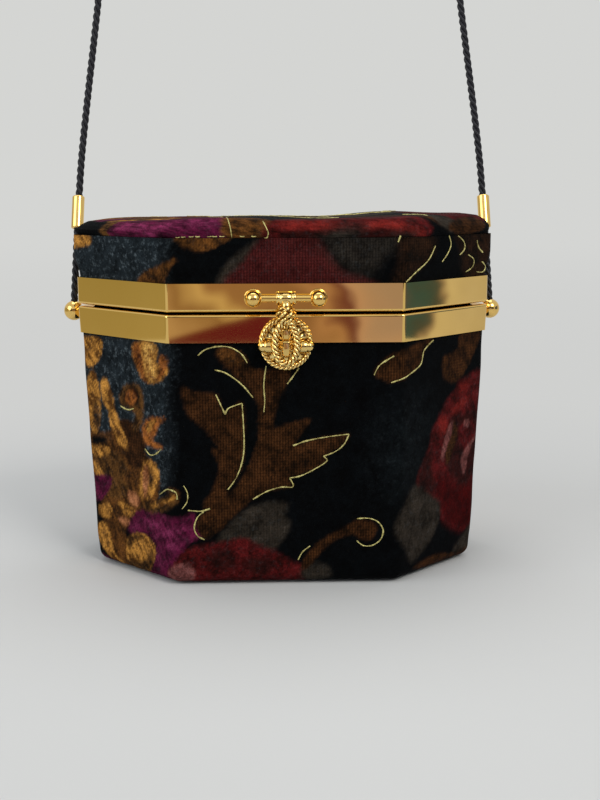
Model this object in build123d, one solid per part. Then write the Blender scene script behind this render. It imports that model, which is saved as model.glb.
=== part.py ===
from build123d import *
import math
import os

# Box purse: an eight-sided hard case with a hinged lid, in millimetres.
# Front is -Y, up is +Z, and the origin is the middle of the underside.

# Box outline: flat front and back, 45 degree corners, sides that lean in towards the base
seam_height = 102.5
seam_gap = 0.8
half_width = 80.6
half_depth = 49.0
side_half = 11.9
base_step_in = 5.2
base_side_growth = 4.3
lid_wall_height = 27.6
crown_height = 7.6

# Layers of the wall, from the outside in
frame_wall = 0.7
frame_clearance = 0.2
cover_thickness = 0.8
board_thickness = 2.0
lining_thickness = 0.5
glue_gap = 0.1
cover_corner = 4.5
frame_corner = 2.2
flange_corner = 1.2

# Metal frames round the rim of the case and of the lid
frame_height = 10.4
flange_height = 6.0
frame_edge_round = 1.0
frame_board_gap = 0.3

# Underside
base_thickness = 3.5
base_cover_stand = 0.3
base_edge_round = 4.2
hem_width = 6.0
hem_clearance = 0.3

# Padded lid top
crown_edge_round = 5.0

# Back hinge
hinge_end_margin = 13.5
knuckle_count = 5
knuckle_radius = 1.9
knuckle_gap = 0.2
hinge_pin_radius = 0.9
hinge_clearance = 0.05
leaf_thickness = 0.8
leaf_height = 7.0
leaf_start = 2.3
hinge_rivet_radius = 0.8
hinge_rivet_head_radius = 1.5
hinge_rivet_head = 0.6
hinge_rivet_count = 4
rivet_clearance = 0.02

# Latch posts and the pin between them
post_spacing = 23.6
post_collar_radius = 3.4
post_collar = 1.0
post_neck_radius = 2.0
post_ball_radius = 2.9
post_ball_stand = 5.2
post_shank_radius = 1.4
latch_pin_radius = 1.3
latch_pin_stand = 3.0
latch_pin_seat = 1.4

# Swinging latch: knuckle, knot and rope loop
latch_clearance = 0.05
latch_knuckle_radius = 2.3
latch_knuckle_width = 7.2
latch_neck_width = 4.4
latch_neck_back = 2.4
latch_neck_front = 5.4
knot_drop = 6.0
knot_half_width = 3.9
knot_half_depth = 2.5
knot_half_height = 2.9
knot_stand = 5.0
loop_rope_radius = 1.45
loop_half_width = 3.75
loop_half_height = 7.4
loop_drop = 15.6
loop_stand = 6.0

# Catch: fluted rosette with a rope rim and a cross barrel
catch_radius = 10.2
catch_drop = 10.5
catch_plate = 1.0
catch_rim_radius = 1.3
catch_petal_count = 16
catch_petal_radius = 1.0
catch_petal_start = 3.4
catch_barrel_radius = 2.3
catch_barrel_half = 10.4
catch_barrel_stand = 1.9
catch_barrel_drop = 1.1
catch_boss_half_width = 1.7
catch_boss_half_height = 6.2
catch_boss_stand = 3.9
catch_peg_radius = 1.0
catch_peg_spacing = 9.0
catch_peg_rise = 4.4

# Strap studs on the sides of the case frame
stud_drop = 3.4
stud_back = 6.0
stud_ball_radius = 4.0
stud_reach = 4.6
stud_neck_radius = 2.2
stud_flange_radius = 3.2
stud_flange = 0.5
stud_shank_radius = 1.5
stud_washer_radius = 3.6
stud_washer = 0.7
stud_rivet_head_radius = 2.6
stud_rivet_head = 0.7
stud_clearance = 0.05

# Cord strap and its ferrules
cord_radius = 1.5
cord_clearance = 0.05
cord_bed_rise = 1.2
ferrule_radius = 2.5
ferrule_rise = 29.0
ferrule_length = 13.6
ferrule_edge_round = 0.6
ferrule_bend_radius = 60.0
run_share = 0.45
# Right half of the strap, upwards from the ferrule mouth to the top of its loop,
# as steps in from half_width, back from the stud and up from the seam
strap_steps = [
    (-2.9, 14.0, 45.0),
    (-1.0, 21.0, 69.5),
    (4.9, 35.0, 123.5),
    (8.8, 40.0, 159.5),
    (25.2, 42.0, 185.5),
    (52.8, 42.0, 199.5),
]

# How far a cutting shape runs past the face that it cuts
overrun = 2.0

# The lid stands straight up from the width at the seam
lid_rise_share = 1.0
mitre_share = math.tan(math.pi / 8)
cover_inset = frame_wall + frame_clearance
board_inset = cover_inset + cover_thickness + glue_gap
lining_inset = board_inset + board_thickness + glue_gap
flange_inset = lining_inset + lining_thickness + frame_clearance
board_corner = cover_corner - cover_thickness - glue_gap
lining_corner = board_corner - board_thickness - glue_gap

case_frame_low = seam_height - frame_height
lid_low = seam_height + seam_gap
lid_frame_high = lid_low + frame_height
lid_wall_high = seam_height + lid_wall_height
lid_board_low = lid_low + frame_wall + frame_board_gap
lid_top_board_low = lid_wall_high - board_thickness
crown_high = lid_wall_high + crown_height
case_board_high = seam_height - frame_wall - frame_board_gap
base_low = base_cover_stand + cover_thickness + glue_gap
base_high = base_low + base_thickness


def outline(z, inset, corner, flared):
    # Octagon at height z, stepped in from the frame's outer faces, with rounded corners
    rise_share = z / seam_height if flared else lid_rise_share
    wide = half_width - base_step_in * (1 - rise_share) - inset
    side = side_half + base_side_growth * (1 - rise_share) - inset * mitre_share
    deep = half_depth - inset
    front = wide - (deep - side)
    quarter = [(front, -deep), (wide, -side), (wide, side), (front, deep)]
    points = quarter + [(-x, -y) for x, y in quarter]
    face = fillet(Polygon(*points, align=None).vertices(), corner)
    return Pos(0, 0, z) * face


def block(low, high, inset, corner, flared):
    # Solid octagon between two heights
    return loft([outline(z, inset, corner, flared) for z in (low, high)], ruled=True)


def ring(low, high, inset, thickness, corner, flared):
    # Eight-sided wall of even thickness, open above and below
    hollow = block(low - overrun, high + overrun, inset + thickness, corner - thickness, flared)
    return block(low, high, inset, corner, flared) - hollow


def rod(start, end, radius):
    # Round bar between two points
    start, end = Vector(*start), Vector(*end)
    plane = Plane(origin=start, z_dir=end - start)
    return extrude(plane * Circle(radius), (end - start).length)


def front_point(x, stand, z):
    # A point that stands off the flat front of the frames
    return (x, -half_depth - stand, z)


def case_side_x(z):
    return half_width - base_step_in * (1 - z / seam_height)


parts = {}

# Case box: base board, wall board, velvet cover with its hem, bottom panel and lining
base_cover_inset = cover_inset + hem_width + hem_clearance
parts["base_cover"] = block(0, base_low - glue_gap, base_cover_inset, cover_corner, True)

base_board = block(base_low, base_high, board_inset, board_corner, True)
base_board_round = base_edge_round - cover_thickness - glue_gap
parts["base_board"] = fillet(base_board.edges().group_by(Axis.Z)[0], base_board_round)

parts["case_wall"] = ring(base_high, case_board_high, board_inset, board_thickness, board_corner, True)

cover_skin = block(base_cover_stand, case_board_high, cover_inset, cover_corner, True)
cover_skin = fillet(cover_skin.edges().group_by(Axis.Z)[0], base_edge_round)
cover_core = block(
    base_cover_stand + cover_thickness,
    case_board_high + overrun,
    cover_inset + cover_thickness,
    cover_corner - cover_thickness,
    True,
)
cover_core = fillet(cover_core.edges().group_by(Axis.Z)[0], base_edge_round - cover_thickness)
hem_opening = block(-overrun, base_low + overrun, cover_inset + hem_width, cover_corner, True)
parts["case_cover"] = cover_skin - cover_core - hem_opening

lining_low = base_high + glue_gap
lining_bag = block(lining_low, case_board_high, lining_inset, lining_corner, True)
lining_hollow = block(
    lining_low + lining_thickness,
    case_board_high + overrun,
    lining_inset + lining_thickness,
    lining_corner - lining_thickness,
    True,
)
parts["case_lining"] = lining_bag - lining_hollow

# Case frame: outer band, top web and a flange turned down inside the lining
case_band = block(case_frame_low, seam_height, 0, frame_corner, True)
case_band = fillet(case_band.edges().group_by(Axis.Z)[-1], frame_edge_round)
case_band -= block(
    case_frame_low - overrun, seam_height - frame_wall, frame_wall, frame_corner - frame_wall, True
)
case_flange = ring(
    seam_height - flange_height, seam_height - frame_wall, flange_inset, frame_wall, flange_corner, True
)
case_mouth = block(
    case_frame_low - overrun,
    seam_height + overrun,
    flange_inset + frame_wall,
    flange_corner - frame_wall,
    True,
)
parts["case_frame"] = case_band - case_mouth + case_flange

# Lid frame: the same channel turned over
lid_band = block(lid_low, lid_frame_high, 0, frame_corner, False)
lid_band = fillet(lid_band.edges().group_by(Axis.Z)[0], frame_edge_round)
lid_band -= block(
    lid_low + frame_wall, lid_frame_high + overrun, frame_wall, frame_corner - frame_wall, False
)
lid_flange = ring(
    lid_low + frame_wall, lid_low + flange_height, flange_inset, frame_wall, flange_corner, False
)
lid_mouth = block(
    lid_low - overrun, lid_frame_high + overrun, flange_inset + frame_wall, flange_corner - frame_wall, False
)
parts["lid_frame"] = lid_band - lid_mouth + lid_flange

# Lid box: wall board, top board, velvet band, lining, foam and the padded top's cover
parts["lid_wall"] = ring(
    lid_board_low, lid_top_board_low, board_inset, board_thickness, board_corner, False
)
parts["lid_top_board"] = block(lid_top_board_low, lid_wall_high, board_inset, board_corner, False)
parts["lid_band_cover"] = ring(
    lid_board_low, lid_wall_high, cover_inset, cover_thickness, cover_corner, False
)
lid_lining_high = lid_top_board_low - glue_gap
lid_lining = block(lid_board_low, lid_lining_high, lining_inset, lining_corner, False)
parts["lid_lining"] = lid_lining - block(
    lid_board_low - overrun,
    lid_lining_high - lining_thickness,
    lining_inset + lining_thickness,
    lining_corner - lining_thickness,
    False,
)
crown = block(lid_wall_high, crown_high, cover_inset, cover_corner, False)
crown = fillet(crown.edges().group_by(Axis.Z)[-1], crown_edge_round)
pad_corner = cover_corner - cover_thickness
pad = block(
    lid_wall_high, crown_high - cover_thickness, cover_inset + cover_thickness, pad_corner, False
)
pad = fillet(pad.edges().group_by(Axis.Z)[-1], crown_edge_round - cover_thickness)
parts["lid_pad"] = pad
parts["lid_top_cover"] = crown - pad

# Back hinge: two leaves with interlocking knuckles on one pin
half_front = half_width - half_depth + side_half
hinge_length = 2 * (half_front - hinge_end_margin)
hinge_y = half_depth + knuckle_radius
hinge_z = seam_height + seam_gap / 2
knuckle_pitch = hinge_length / knuckle_count
rivet_pitch = hinge_length / hinge_rivet_count
leaf_middle = leaf_start + leaf_height / 2


def hinge_leaf(side, first):
    # side is 1 for the lid's leaf and -1 for the case's, first its first knuckle
    near, far = sorted([hinge_z + side * leaf_start, hinge_z + side * (leaf_start + leaf_height)])
    leaf = Pos(0, half_depth + leaf_thickness / 2, (near + far) / 2) * Box(
        hinge_length, leaf_thickness, leaf_height
    )
    for i in range(first, knuckle_count, 2):
        x = (i + 1 / 2) * knuckle_pitch - hinge_length / 2
        half = (knuckle_pitch - knuckle_gap) / 2
        leaf += rod((x - half, hinge_y, hinge_z), (x + half, hinge_y, hinge_z), knuckle_radius)
        leaf += Pos(x, half_depth + leaf_thickness / 2, hinge_z + side * leaf_start / 2) * Box(
            2 * half, leaf_thickness, leaf_start
        )
    reach = hinge_length / 2 + overrun
    leaf -= rod(
        (-reach, hinge_y, hinge_z), (reach, hinge_y, hinge_z), hinge_pin_radius + hinge_clearance
    )
    return leaf


def hinge_rivets(side, grow):
    # Domed rivets through a leaf and the frame's wall; grow widens them into their holes
    rivets = []
    z = hinge_z + side * leaf_middle
    inner, outer = half_depth - frame_wall, half_depth + leaf_thickness
    for i in range(hinge_rivet_count):
        x = (i + 1 / 2) * rivet_pitch - hinge_length / 2
        shank = rod((x, inner - grow, z), (x, outer + grow, z), hinge_rivet_radius + grow)
        head = rod((x, outer, z), (x, outer + hinge_rivet_head, z), hinge_rivet_head_radius)
        head = fillet(head.edges().group_by(Axis.Y)[-1], hinge_rivet_head / 2)
        rivets.append(shank if grow else shank + head)
    return rivets


for side, first, owner in ((-1, 0, "case"), (1, 1, "lid")):
    holes = hinge_rivets(side, rivet_clearance)
    parts[f"{owner}_hinge_leaf"] = hinge_leaf(side, first) - holes
    parts[f"{owner}_frame"] -= holes
    parts[f"{owner}_hinge_rivets"] = Compound(children=[r.solid() for r in hinge_rivets(side, 0)])

parts["hinge_pin"] = rod(
    (-hinge_length / 2, hinge_y, hinge_z), (hinge_length / 2, hinge_y, hinge_z), hinge_pin_radius
)

# Latch posts on the lid frame, and the pin that they hold
latch_z = lid_low + frame_height / 2
latch_y = -half_depth - latch_pin_stand
pin_half = post_spacing / 2 - post_neck_radius + latch_pin_seat


def latch_post(x):
    post = rod(front_point(x, 0, latch_z), front_point(x, post_collar, latch_z), post_collar_radius)
    post = fillet(post.edges().group_by(Axis.Y)[0], post_collar / 2)
    post += rod(
        front_point(x, 0, latch_z), front_point(x, post_ball_stand, latch_z), post_neck_radius
    )
    post += Pos(*front_point(x, post_ball_stand, latch_z)) * Sphere(post_ball_radius)
    post += rod(
        front_point(x, -frame_wall, latch_z), front_point(x, 0, latch_z), post_shank_radius
    )
    seat_radius = latch_pin_radius + rivet_clearance
    seat = rod((-pin_half, latch_y, latch_z), (pin_half, latch_y, latch_z), seat_radius)
    return post - seat


for name, x in (("left", -post_spacing / 2), ("right", post_spacing / 2)):
    parts[f"latch_post_{name}"] = latch_post(x)
    parts["lid_frame"] -= rod(
        front_point(x, -frame_wall - overrun, latch_z),
        front_point(x, overrun, latch_z),
        post_shank_radius + rivet_clearance,
    )

parts["latch_pin"] = rod((-pin_half, latch_y, latch_z), (pin_half, latch_y, latch_z), latch_pin_radius)

# Swinging latch: knuckle on the pin, knot, and the rope loop that hangs in front of the catch
knuckle_half = latch_knuckle_width / 2
latch = rod((-knuckle_half, latch_y, latch_z), (knuckle_half, latch_y, latch_z), latch_knuckle_radius)
neck_depth = latch_neck_front - latch_neck_back
latch += Pos(*front_point(0, latch_neck_back + neck_depth / 2, latch_z - knot_drop / 2)) * Box(
    latch_neck_width, neck_depth, knot_drop
)
knot_shares = (1, knot_half_depth / knot_half_width, knot_half_height / knot_half_width)
knot = scale(Sphere(knot_half_width), knot_shares)
latch += Pos(*front_point(0, knot_stand, latch_z - knot_drop)) * knot
loop_plane = Plane(front_point(0, loop_stand, latch_z - loop_drop), x_dir=(0, 0, 1), z_dir=(0, -1, 0))
loop_path = (loop_plane * SlotOverall(2 * loop_half_height, 2 * loop_half_width)).wire()
loop_section = Plane(origin=loop_path @ 0, z_dir=loop_path % 0) * Circle(loop_rope_radius)
latch += sweep(loop_section, loop_path)
bore_half = knuckle_half + overrun
latch -= rod(
    (-bore_half, latch_y, latch_z), (bore_half, latch_y, latch_z), latch_pin_radius + latch_clearance
)
parts["latch_loop"] = latch

# Catch on the case frame
catch_z = seam_height - catch_drop
rim_path_radius = catch_radius - catch_rim_radius
catch = rod(front_point(0, 0, catch_z), front_point(0, catch_plate, catch_z), rim_path_radius)
catch_plane = Plane(front_point(0, catch_rim_radius, catch_z), x_dir=(1, 0, 0), z_dir=(0, -1, 0))
catch += catch_plane * Torus(rim_path_radius, catch_rim_radius)
for i in range(catch_petal_count):
    turn = 2 * math.pi * (i + 1 / 2) / catch_petal_count
    ends = [
        front_point(r * math.cos(turn), catch_plate, catch_z + r * math.sin(turn))
        for r in (catch_petal_start, rim_path_radius)
    ]
    catch += rod(*ends, catch_petal_radius)
barrel_z = catch_z - catch_barrel_drop
barrel_half = catch_barrel_half - catch_barrel_radius
catch += rod(
    front_point(-barrel_half, catch_barrel_stand, barrel_z),
    front_point(barrel_half, catch_barrel_stand, barrel_z),
    catch_barrel_radius,
)
for x in (-barrel_half, barrel_half):
    catch += Pos(*front_point(x, catch_barrel_stand, barrel_z)) * Sphere(catch_barrel_radius)
boss_outline = Plane(front_point(0, 0, catch_z), x_dir=(0, 0, 1), z_dir=(0, -1, 0)) * SlotOverall(
    2 * catch_boss_half_height, 2 * catch_boss_half_width
)
catch += extrude(boss_outline, catch_boss_stand)
peg_holes = []
for x in (-catch_peg_spacing / 2, catch_peg_spacing / 2):
    ends = [front_point(x, stand, catch_z + catch_peg_rise) for stand in (-frame_wall, 0)]
    catch += rod(*ends, catch_peg_radius)
    peg_holes.append(rod(*ends, catch_peg_radius + rivet_clearance))
back_trim = Pos(0, -half_depth + overrun, catch_z) * Box(
    2 * catch_radius, 2 * overrun, 2 * catch_radius
)
pegs = [s for s in (catch & back_trim).solids() if s.bounding_box().size.X <= 2 * catch_peg_radius]
catch = catch - back_trim + pegs
parts["catch_rosette"] = catch
parts["case_frame"] -= peg_holes

# Strap studs, riveted square through the leaning sides, and their washers
lean = math.atan(base_step_in / seam_height)
stud_height = seam_height - stud_drop
strap_points = [
    (half_width - step, stud_back + back, seam_height + rise) for step, back, rise in strap_steps
]
stud_face = Vector(case_side_x(stud_height), stud_back, stud_height)
stud_axis = Vector(math.cos(lean), 0, -math.sin(lean))
wall_depth = flange_inset + frame_wall


def along_stud(distance):
    return tuple(stud_face + stud_axis * distance)


stud_middle = along_stud(stud_reach)
cord_start = (stud_middle[0], stud_middle[1], stud_middle[2] + cord_bed_rise)
cord_way = (Vector(*strap_points[0]) - Vector(*cord_start)).normalized()
stud = rod(along_stud(0), along_stud(stud_flange), stud_flange_radius)
stud += rod(along_stud(0), along_stud(stud_reach), stud_neck_radius)
stud += Pos(*stud_middle) * Sphere(stud_ball_radius)
shank_end = wall_depth + stud_washer
stud += rod(along_stud(-shank_end), along_stud(0), stud_shank_radius)
stud += rod(along_stud(-shank_end - stud_rivet_head), along_stud(-shank_end), stud_rivet_head_radius)
bed_end = tuple(Vector(*cord_start) + cord_way * (stud_ball_radius + overrun))
stud -= rod(cord_start, bed_end, cord_radius + cord_clearance)
washer = rod(along_stud(-shank_end), along_stud(-wall_depth), stud_washer_radius)
shank_hole = rod(along_stud(-shank_end - overrun), along_stud(0), stud_shank_radius + stud_clearance)
washer -= shank_hole

ferrule_low = seam_height + ferrule_rise
ferrule_base = Vector(*cord_start) + cord_way * ((ferrule_low - cord_start[2]) / cord_way.Z)
ferrule_top = ferrule_base + cord_way * ferrule_length
ferrule = rod(tuple(ferrule_base), tuple(ferrule_top), ferrule_radius)
ferrule_ends = ferrule.edges().filter_by(GeomType.CIRCLE)
ferrule = fillet(ferrule_ends, ferrule_edge_round)
ferrule -= rod(
    tuple(ferrule_base - cord_way * overrun),
    tuple(ferrule_top + cord_way * overrun),
    cord_radius + cord_clearance,
)

for name, turn in (("right", False), ("left", True)):
    for node, shape in (("strap_stud", stud), ("stud_washer", washer), ("strap_ferrule", ferrule)):
        parts[f"{node}_{name}"] = mirror(shape, Plane.YZ) if turn else shape
    hole = mirror(shank_hole, Plane.YZ) if turn else shank_hole
    for node in ("case_frame", "case_cover", "case_wall", "case_lining"):
        parts[node] -= hole

# Cord strap: one length from stud to stud, straight at the sides and round at the top
right_route = [cord_start] + strap_points
route = right_route + [(-x, y, z) for x, y, z in reversed(right_route)]
radii = []
for before, here, after in zip(route, route[1:], route[2:]):
    arriving, leaving = Vector(*here) - Vector(*before), Vector(*after) - Vector(*here)
    half_turn = math.radians(arriving.get_angle(leaving)) / 2
    radii.append(run_share * min(arriving.length, leaving.length) / math.tan(half_turn))
radii[0] = radii[-1] = ferrule_bend_radius
print("strap radii", [round(r, 1) for r in radii])
strap_path = FilletPolyline(*route, radius=radii)
strap_section = Plane(origin=strap_path @ 0, z_dir=strap_path % 0) * Circle(cord_radius)
strap = sweep(strap_section, strap_path)
print("strap length", round(strap_path.length, 1))
print("strap volume over section times length", strap.volume / (strap_section.area * strap_path.length))
parts["strap_cord"] = strap

os.makedirs("parts", exist_ok=True)
for name, shape in parts.items():
    export_step(shape, f"parts/{name}.step")
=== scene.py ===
import math
import bpy
import bmesh
import numpy as np
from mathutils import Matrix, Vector, noise


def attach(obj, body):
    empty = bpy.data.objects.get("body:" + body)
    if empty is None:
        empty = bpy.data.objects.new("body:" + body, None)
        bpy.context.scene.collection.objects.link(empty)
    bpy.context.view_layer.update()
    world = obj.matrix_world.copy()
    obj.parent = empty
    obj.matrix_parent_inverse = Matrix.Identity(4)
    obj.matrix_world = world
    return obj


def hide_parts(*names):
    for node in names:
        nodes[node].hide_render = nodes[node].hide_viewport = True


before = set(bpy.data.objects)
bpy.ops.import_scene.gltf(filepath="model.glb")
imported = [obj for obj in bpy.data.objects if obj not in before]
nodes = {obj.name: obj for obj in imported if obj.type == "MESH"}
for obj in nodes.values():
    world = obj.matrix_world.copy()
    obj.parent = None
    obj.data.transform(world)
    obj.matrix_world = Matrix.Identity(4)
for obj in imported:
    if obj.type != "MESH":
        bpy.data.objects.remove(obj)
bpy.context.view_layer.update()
mm = 0.001

# camera from the photo's own corners
sight = {
    "lens": 54.1, "sensor": 36, "near": 0.01, "at": (-0.0093, -0.4851, 0.1480), "turn": (79.97, 0.11, -1.91),
}
camera = bpy.data.cameras.new("camera")
camera.lens = sight["lens"]
camera.sensor_width = sight["sensor"]
camera.clip_start = sight["near"]
cameraObject = bpy.data.objects.new("camera", camera)
cameraObject.location = sight["at"]
cameraObject.rotation_euler = [math.radians(angle) for angle in sight["turn"]]
bpy.context.scene.collection.objects.link(cameraObject)
bpy.context.scene.camera = cameraObject
bpy.context.scene.view_settings.view_transform = "Standard"
print("camera placed")


def addObject(name, mesh, body):
    piece = bpy.data.objects.new(name, mesh)
    bpy.context.scene.collection.objects.link(piece)
    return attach(piece, body)


def meshFrom(bm, name, smooth=True):
    mesh = bpy.data.meshes.new(name)
    bm.to_mesh(mesh)
    bm.free()
    mesh.polygons.foreach_set("use_smooth", [smooth] * len(mesh.polygons))
    return mesh


def newMaterial(name, sockets):
    material = bpy.data.materials.new(name)
    material.use_nodes = True
    tree = material.node_tree
    shader = tree.nodes["Principled BSDF"]
    for socket, value in sockets.items():
        shader.inputs[socket].default_value = value
    return material, tree, shader


def link(tree, out, into):
    tree.links.new(out, into)


def noiseNode(tree, coordinate, scale, detail=3, roughness=0.55):
    node = tree.nodes.new("ShaderNodeTexNoise")
    node.inputs["Scale"].default_value = scale
    node.inputs["Detail"].default_value = detail
    node.inputs["Roughness"].default_value = roughness
    link(tree, coordinate, node.inputs["Vector"])
    return node.outputs["Fac"]


def mathNode(tree, operation, a, b=None):
    node = tree.nodes.new("ShaderNodeMath")
    node.operation = operation
    for socket, value in zip(node.inputs, (a, b)):
        if value is None:
            continue
        if hasattr(value, "is_linked"):
            link(tree, value, socket)
        else:
            socket.default_value = value
    return node.outputs[0]


def times(tree, value, by):
    return mathNode(tree, "MULTIPLY", value, by)


def rangeNode(tree, value, low, high):
    node = tree.nodes.new("ShaderNodeMapRange")
    node.interpolation_type = "SMOOTHSTEP"
    link(tree, value, node.inputs["Value"])
    node.inputs["From Min"].default_value = low
    node.inputs["From Max"].default_value = high
    return node.outputs["Result"]


def rampNode(tree, factor, stops):
    node = tree.nodes.new("ShaderNodeValToRGB")
    elements = node.color_ramp.elements
    while len(elements) < len(stops):
        elements.new(0.5)
    for element, (place, colour) in zip(elements, stops):
        element.position = place
        element.color = (*colour, 1)
    link(tree, factor, node.inputs["Fac"])
    return node.outputs["Color"]


def mixColour(tree, factor, a, b):
    node = tree.nodes.new("ShaderNodeMix")
    node.data_type = "RGBA"
    link(tree, factor, node.inputs[0])
    for socket, value in ((node.inputs[6], a), (node.inputs[7], b)):
        if hasattr(value, "is_linked"):
            link(tree, value, socket)
        else:
            socket.default_value = (*value, 1)
    return node.outputs[2]


def vectorNode(tree, operation, a, b):
    node = tree.nodes.new("ShaderNodeVectorMath")
    node.operation = operation
    link(tree, a, node.inputs[0])
    link(tree, b, node.inputs["Scale"] if operation == "SCALE" else node.inputs[1])
    return node.outputs[0]


def attributeNode(tree, name):
    node = tree.nodes.new("ShaderNodeAttribute")
    node.attribute_name = name
    return node.outputs


def splitNode(tree, vector):
    node = tree.nodes.new("ShaderNodeSeparateXYZ")
    link(tree, vector, node.inputs[0])
    return node.outputs


def sineNode(tree, value, perUnit):
    return mathNode(tree, "SINE", times(tree, value, 2 * math.pi * perUnit))


# velvet: the print attribute holds the colour, painted sheen and painted highlights of some fields included,
# and in its alpha how much painted sheen the crushed pile shows
nap = {
    "grain": {"scale": 1700, "detail": 2, "roughness": 0.7},
    "grainGain": 1.9,
    "grainFloor": 0.05,
    "ribs": 400,
    "weft": 900,
    "weftShare": 0.35,
    # painted sheen: flecks of pale slate added to the colour where the pile is crushed
    "fleck": {"scale": 520, "detail": 5, "roughness": 0.75},
    "fleckRange": (0.5, 0.72),
    "shine": [(0, (0, 0, 0)), (1, (0.085, 0.105, 0.115))],
    "bump": {"Strength": 0.4, "Distance": 0.0004},
    "sockets": {
        "Roughness": 0.9, "Specular IOR Level": 0.05, "Sheen Weight": 0.012, "Sheen Roughness": 0.35,
        "Sheen Tint": (0.75, 0.8, 0.9, 1),
    },
}


def velvetMaterial():
    material, tree, shader = newMaterial("velvetPrintAndSheen", nap["sockets"])
    place = tree.nodes.new("ShaderNodeTexCoord").outputs
    printAndSheen = attributeNode(tree, "print")
    grain = noiseNode(tree, place["Object"], **nap["grain"])
    gain = mathNode(tree, "ADD", times(tree, grain, nap["grainGain"]), nap["grainFloor"])
    wave = sineNode(tree, splitNode(tree, place["UV"])["X"], nap["ribs"])
    weft = sineNode(tree, splitNode(tree, place["Object"])["Z"], nap["weft"])
    wave = mathNode(tree, "ADD", wave, times(tree, weft, nap["weftShare"]))
    ribs = mathNode(tree, "ADD", times(tree, wave, attributeNode(tree, "rib")["Fac"]), 1.0)
    colour = vectorNode(tree, "SCALE", printAndSheen["Color"], times(tree, gain, ribs))
    # painted sheen: pale slate flecks added to the colour, scaled by the alpha
    flecks = rangeNode(tree, noiseNode(tree, place["Object"], **nap["fleck"]), *nap["fleckRange"])
    shine = rampNode(tree, times(tree, flecks, printAndSheen["Alpha"]), nap["shine"])
    link(tree, vectorNode(tree, "ADD", colour, shine), shader.inputs["Base Color"])
    bump = tree.nodes.new("ShaderNodeBump")
    for socket, value in nap["bump"].items():
        bump.inputs[socket].default_value = value
    link(tree, grain, bump.inputs["Height"])
    link(tree, bump.outputs["Normal"], shader.inputs["Normal"])
    return material


# the other finishes: a fine noise between two tones
def tonedMaterial(name, scale, detail, stops, sockets):
    material, tree, shader = newMaterial(name, sockets)
    place = tree.nodes.new("ShaderNodeTexCoord").outputs["Object"]
    link(tree, rampNode(tree, noiseNode(tree, place, scale, detail), stops), shader.inputs["Base Color"])
    return material


velvet = velvetMaterial()
threadGold = tonedMaterial(
    "threadGold", 900, 3, [(0.35, (0.24, 0.19, 0.05)), (0.65, (0.66, 0.60, 0.22))],
    {"Metallic": 0.2, "Roughness": 0.45},
)
gilt = tonedMaterial(
    "giltMetal", 35, 2, [(0.3, (0.84, 0.55, 0.16)), (0.7, (0.88, 0.59, 0.19))],
    {"Metallic": 1.0, "Roughness": 0.04},
)
boardGrey = tonedMaterial(
    "boardGrey", 600, 4, [(0.3, (0.46, 0.41, 0.33)), (0.7, (0.58, 0.53, 0.45))], {"Roughness": 0.9}
)
satin = tonedMaterial(
    "satinLining", 50, 4, [(0.3, (0.020, 0.018, 0.020)), (0.7, (0.05, 0.045, 0.05))],
    {"Roughness": 0.42, "Sheen Weight": 0.2},
)
underCloth = tonedMaterial(
    "velvetPlain", 1200, 3, [(0.3, (0.002, 0.003, 0.004)), (0.7, (0.010, 0.013, 0.016))], {"Roughness": 0.9}
)
cordBlack = tonedMaterial(
    "cordBlack", 1400, 2, [(0.3, (0.004, 0.004, 0.006)), (0.7, (0.018, 0.018, 0.024))],
    {"Roughness": 0.55, "Specular IOR Level": 0.3},
)

# cast metal: painted shade, darker in its hollows and creases, and a painted highlight, lighter on its
# ridges
castShadeTones = [
    (0.1, (0.10, 0.04, 0.008)), (0.42, (0.46, 0.25, 0.05)), (0.75, (0.80, 0.55, 0.18)),
    (1.0, (0.90, 0.70, 0.29)),
]
giltCast, tree, shader = newMaterial("giltCast", {"Metallic": 1.0, "Roughness": 0.09})
link(tree, rampNode(tree, attributeNode(tree, "castShade")["Fac"], castShadeTones), shader.inputs["Base Color"])
print("materials made")

# solids that show through or stay as they are
for name, node in nodes.items():
    node.data.materials.clear()
    node.data.materials.append(boardGrey if "board" in name or "wall" in name else gilt)


# rope: strands, strand radius, offset from the middle, length of one turn and sides
def twistRope(bm, path, closed, rope, across, castShade=None):
    strands, sides = rope["strands"], rope["sides"]
    length = sum((b - a).length for a, b in zip(path, path[1:] + path[:1] if closed else path[1:]))
    turns = round(length / rope["lay"]) if closed else length / rope["lay"]
    count = len(path)
    run = [0.0]
    for a, b in zip(path, path[1:]):
        run.append(run[-1] + (b - a).length)
    for strand in range(strands):
        rings = []
        for i, point in enumerate(path):
            ahead = path[(i + 1) % count] if closed or i < count - 1 else point
            behind = path[i - 1] if closed or i > 0 else point
            along = (ahead - behind).normalized()
            side = along.cross(across).normalized()
            up = side.cross(along)
            turn = 2 * math.pi * (turns * run[i] / length + strand / strands)
            centre = point + rope["offset"] * (math.cos(turn) * side + math.sin(turn) * up)
            ring = []
            for k in range(sides):
                angle = 2 * math.pi * k / sides
                out = math.cos(angle) * side + math.sin(angle) * up
                ring.append(bm.verts.new(centre + rope["radius"] * out))
                # painted shade: dark on the side that faces the rope's middle, where the strands meet, light
                # on the outside
                if castShade:
                    ring[-1][castShade] = 0.5 + 0.5 * math.cos(angle - turn)
            rings.append(ring)
        for i in range(count if closed else count - 1):
            a, b = rings[i], rings[(i + 1) % count]
            for k in range(sides):
                bm.faces.new((a[k], a[(k + 1) % sides], b[(k + 1) % sides], b[k]))
        if not closed:
            bm.faces.new(rings[0])
            bm.faces.new(rings[-1])
    bmesh.ops.recalc_face_normals(bm, faces=bm.faces)


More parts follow.
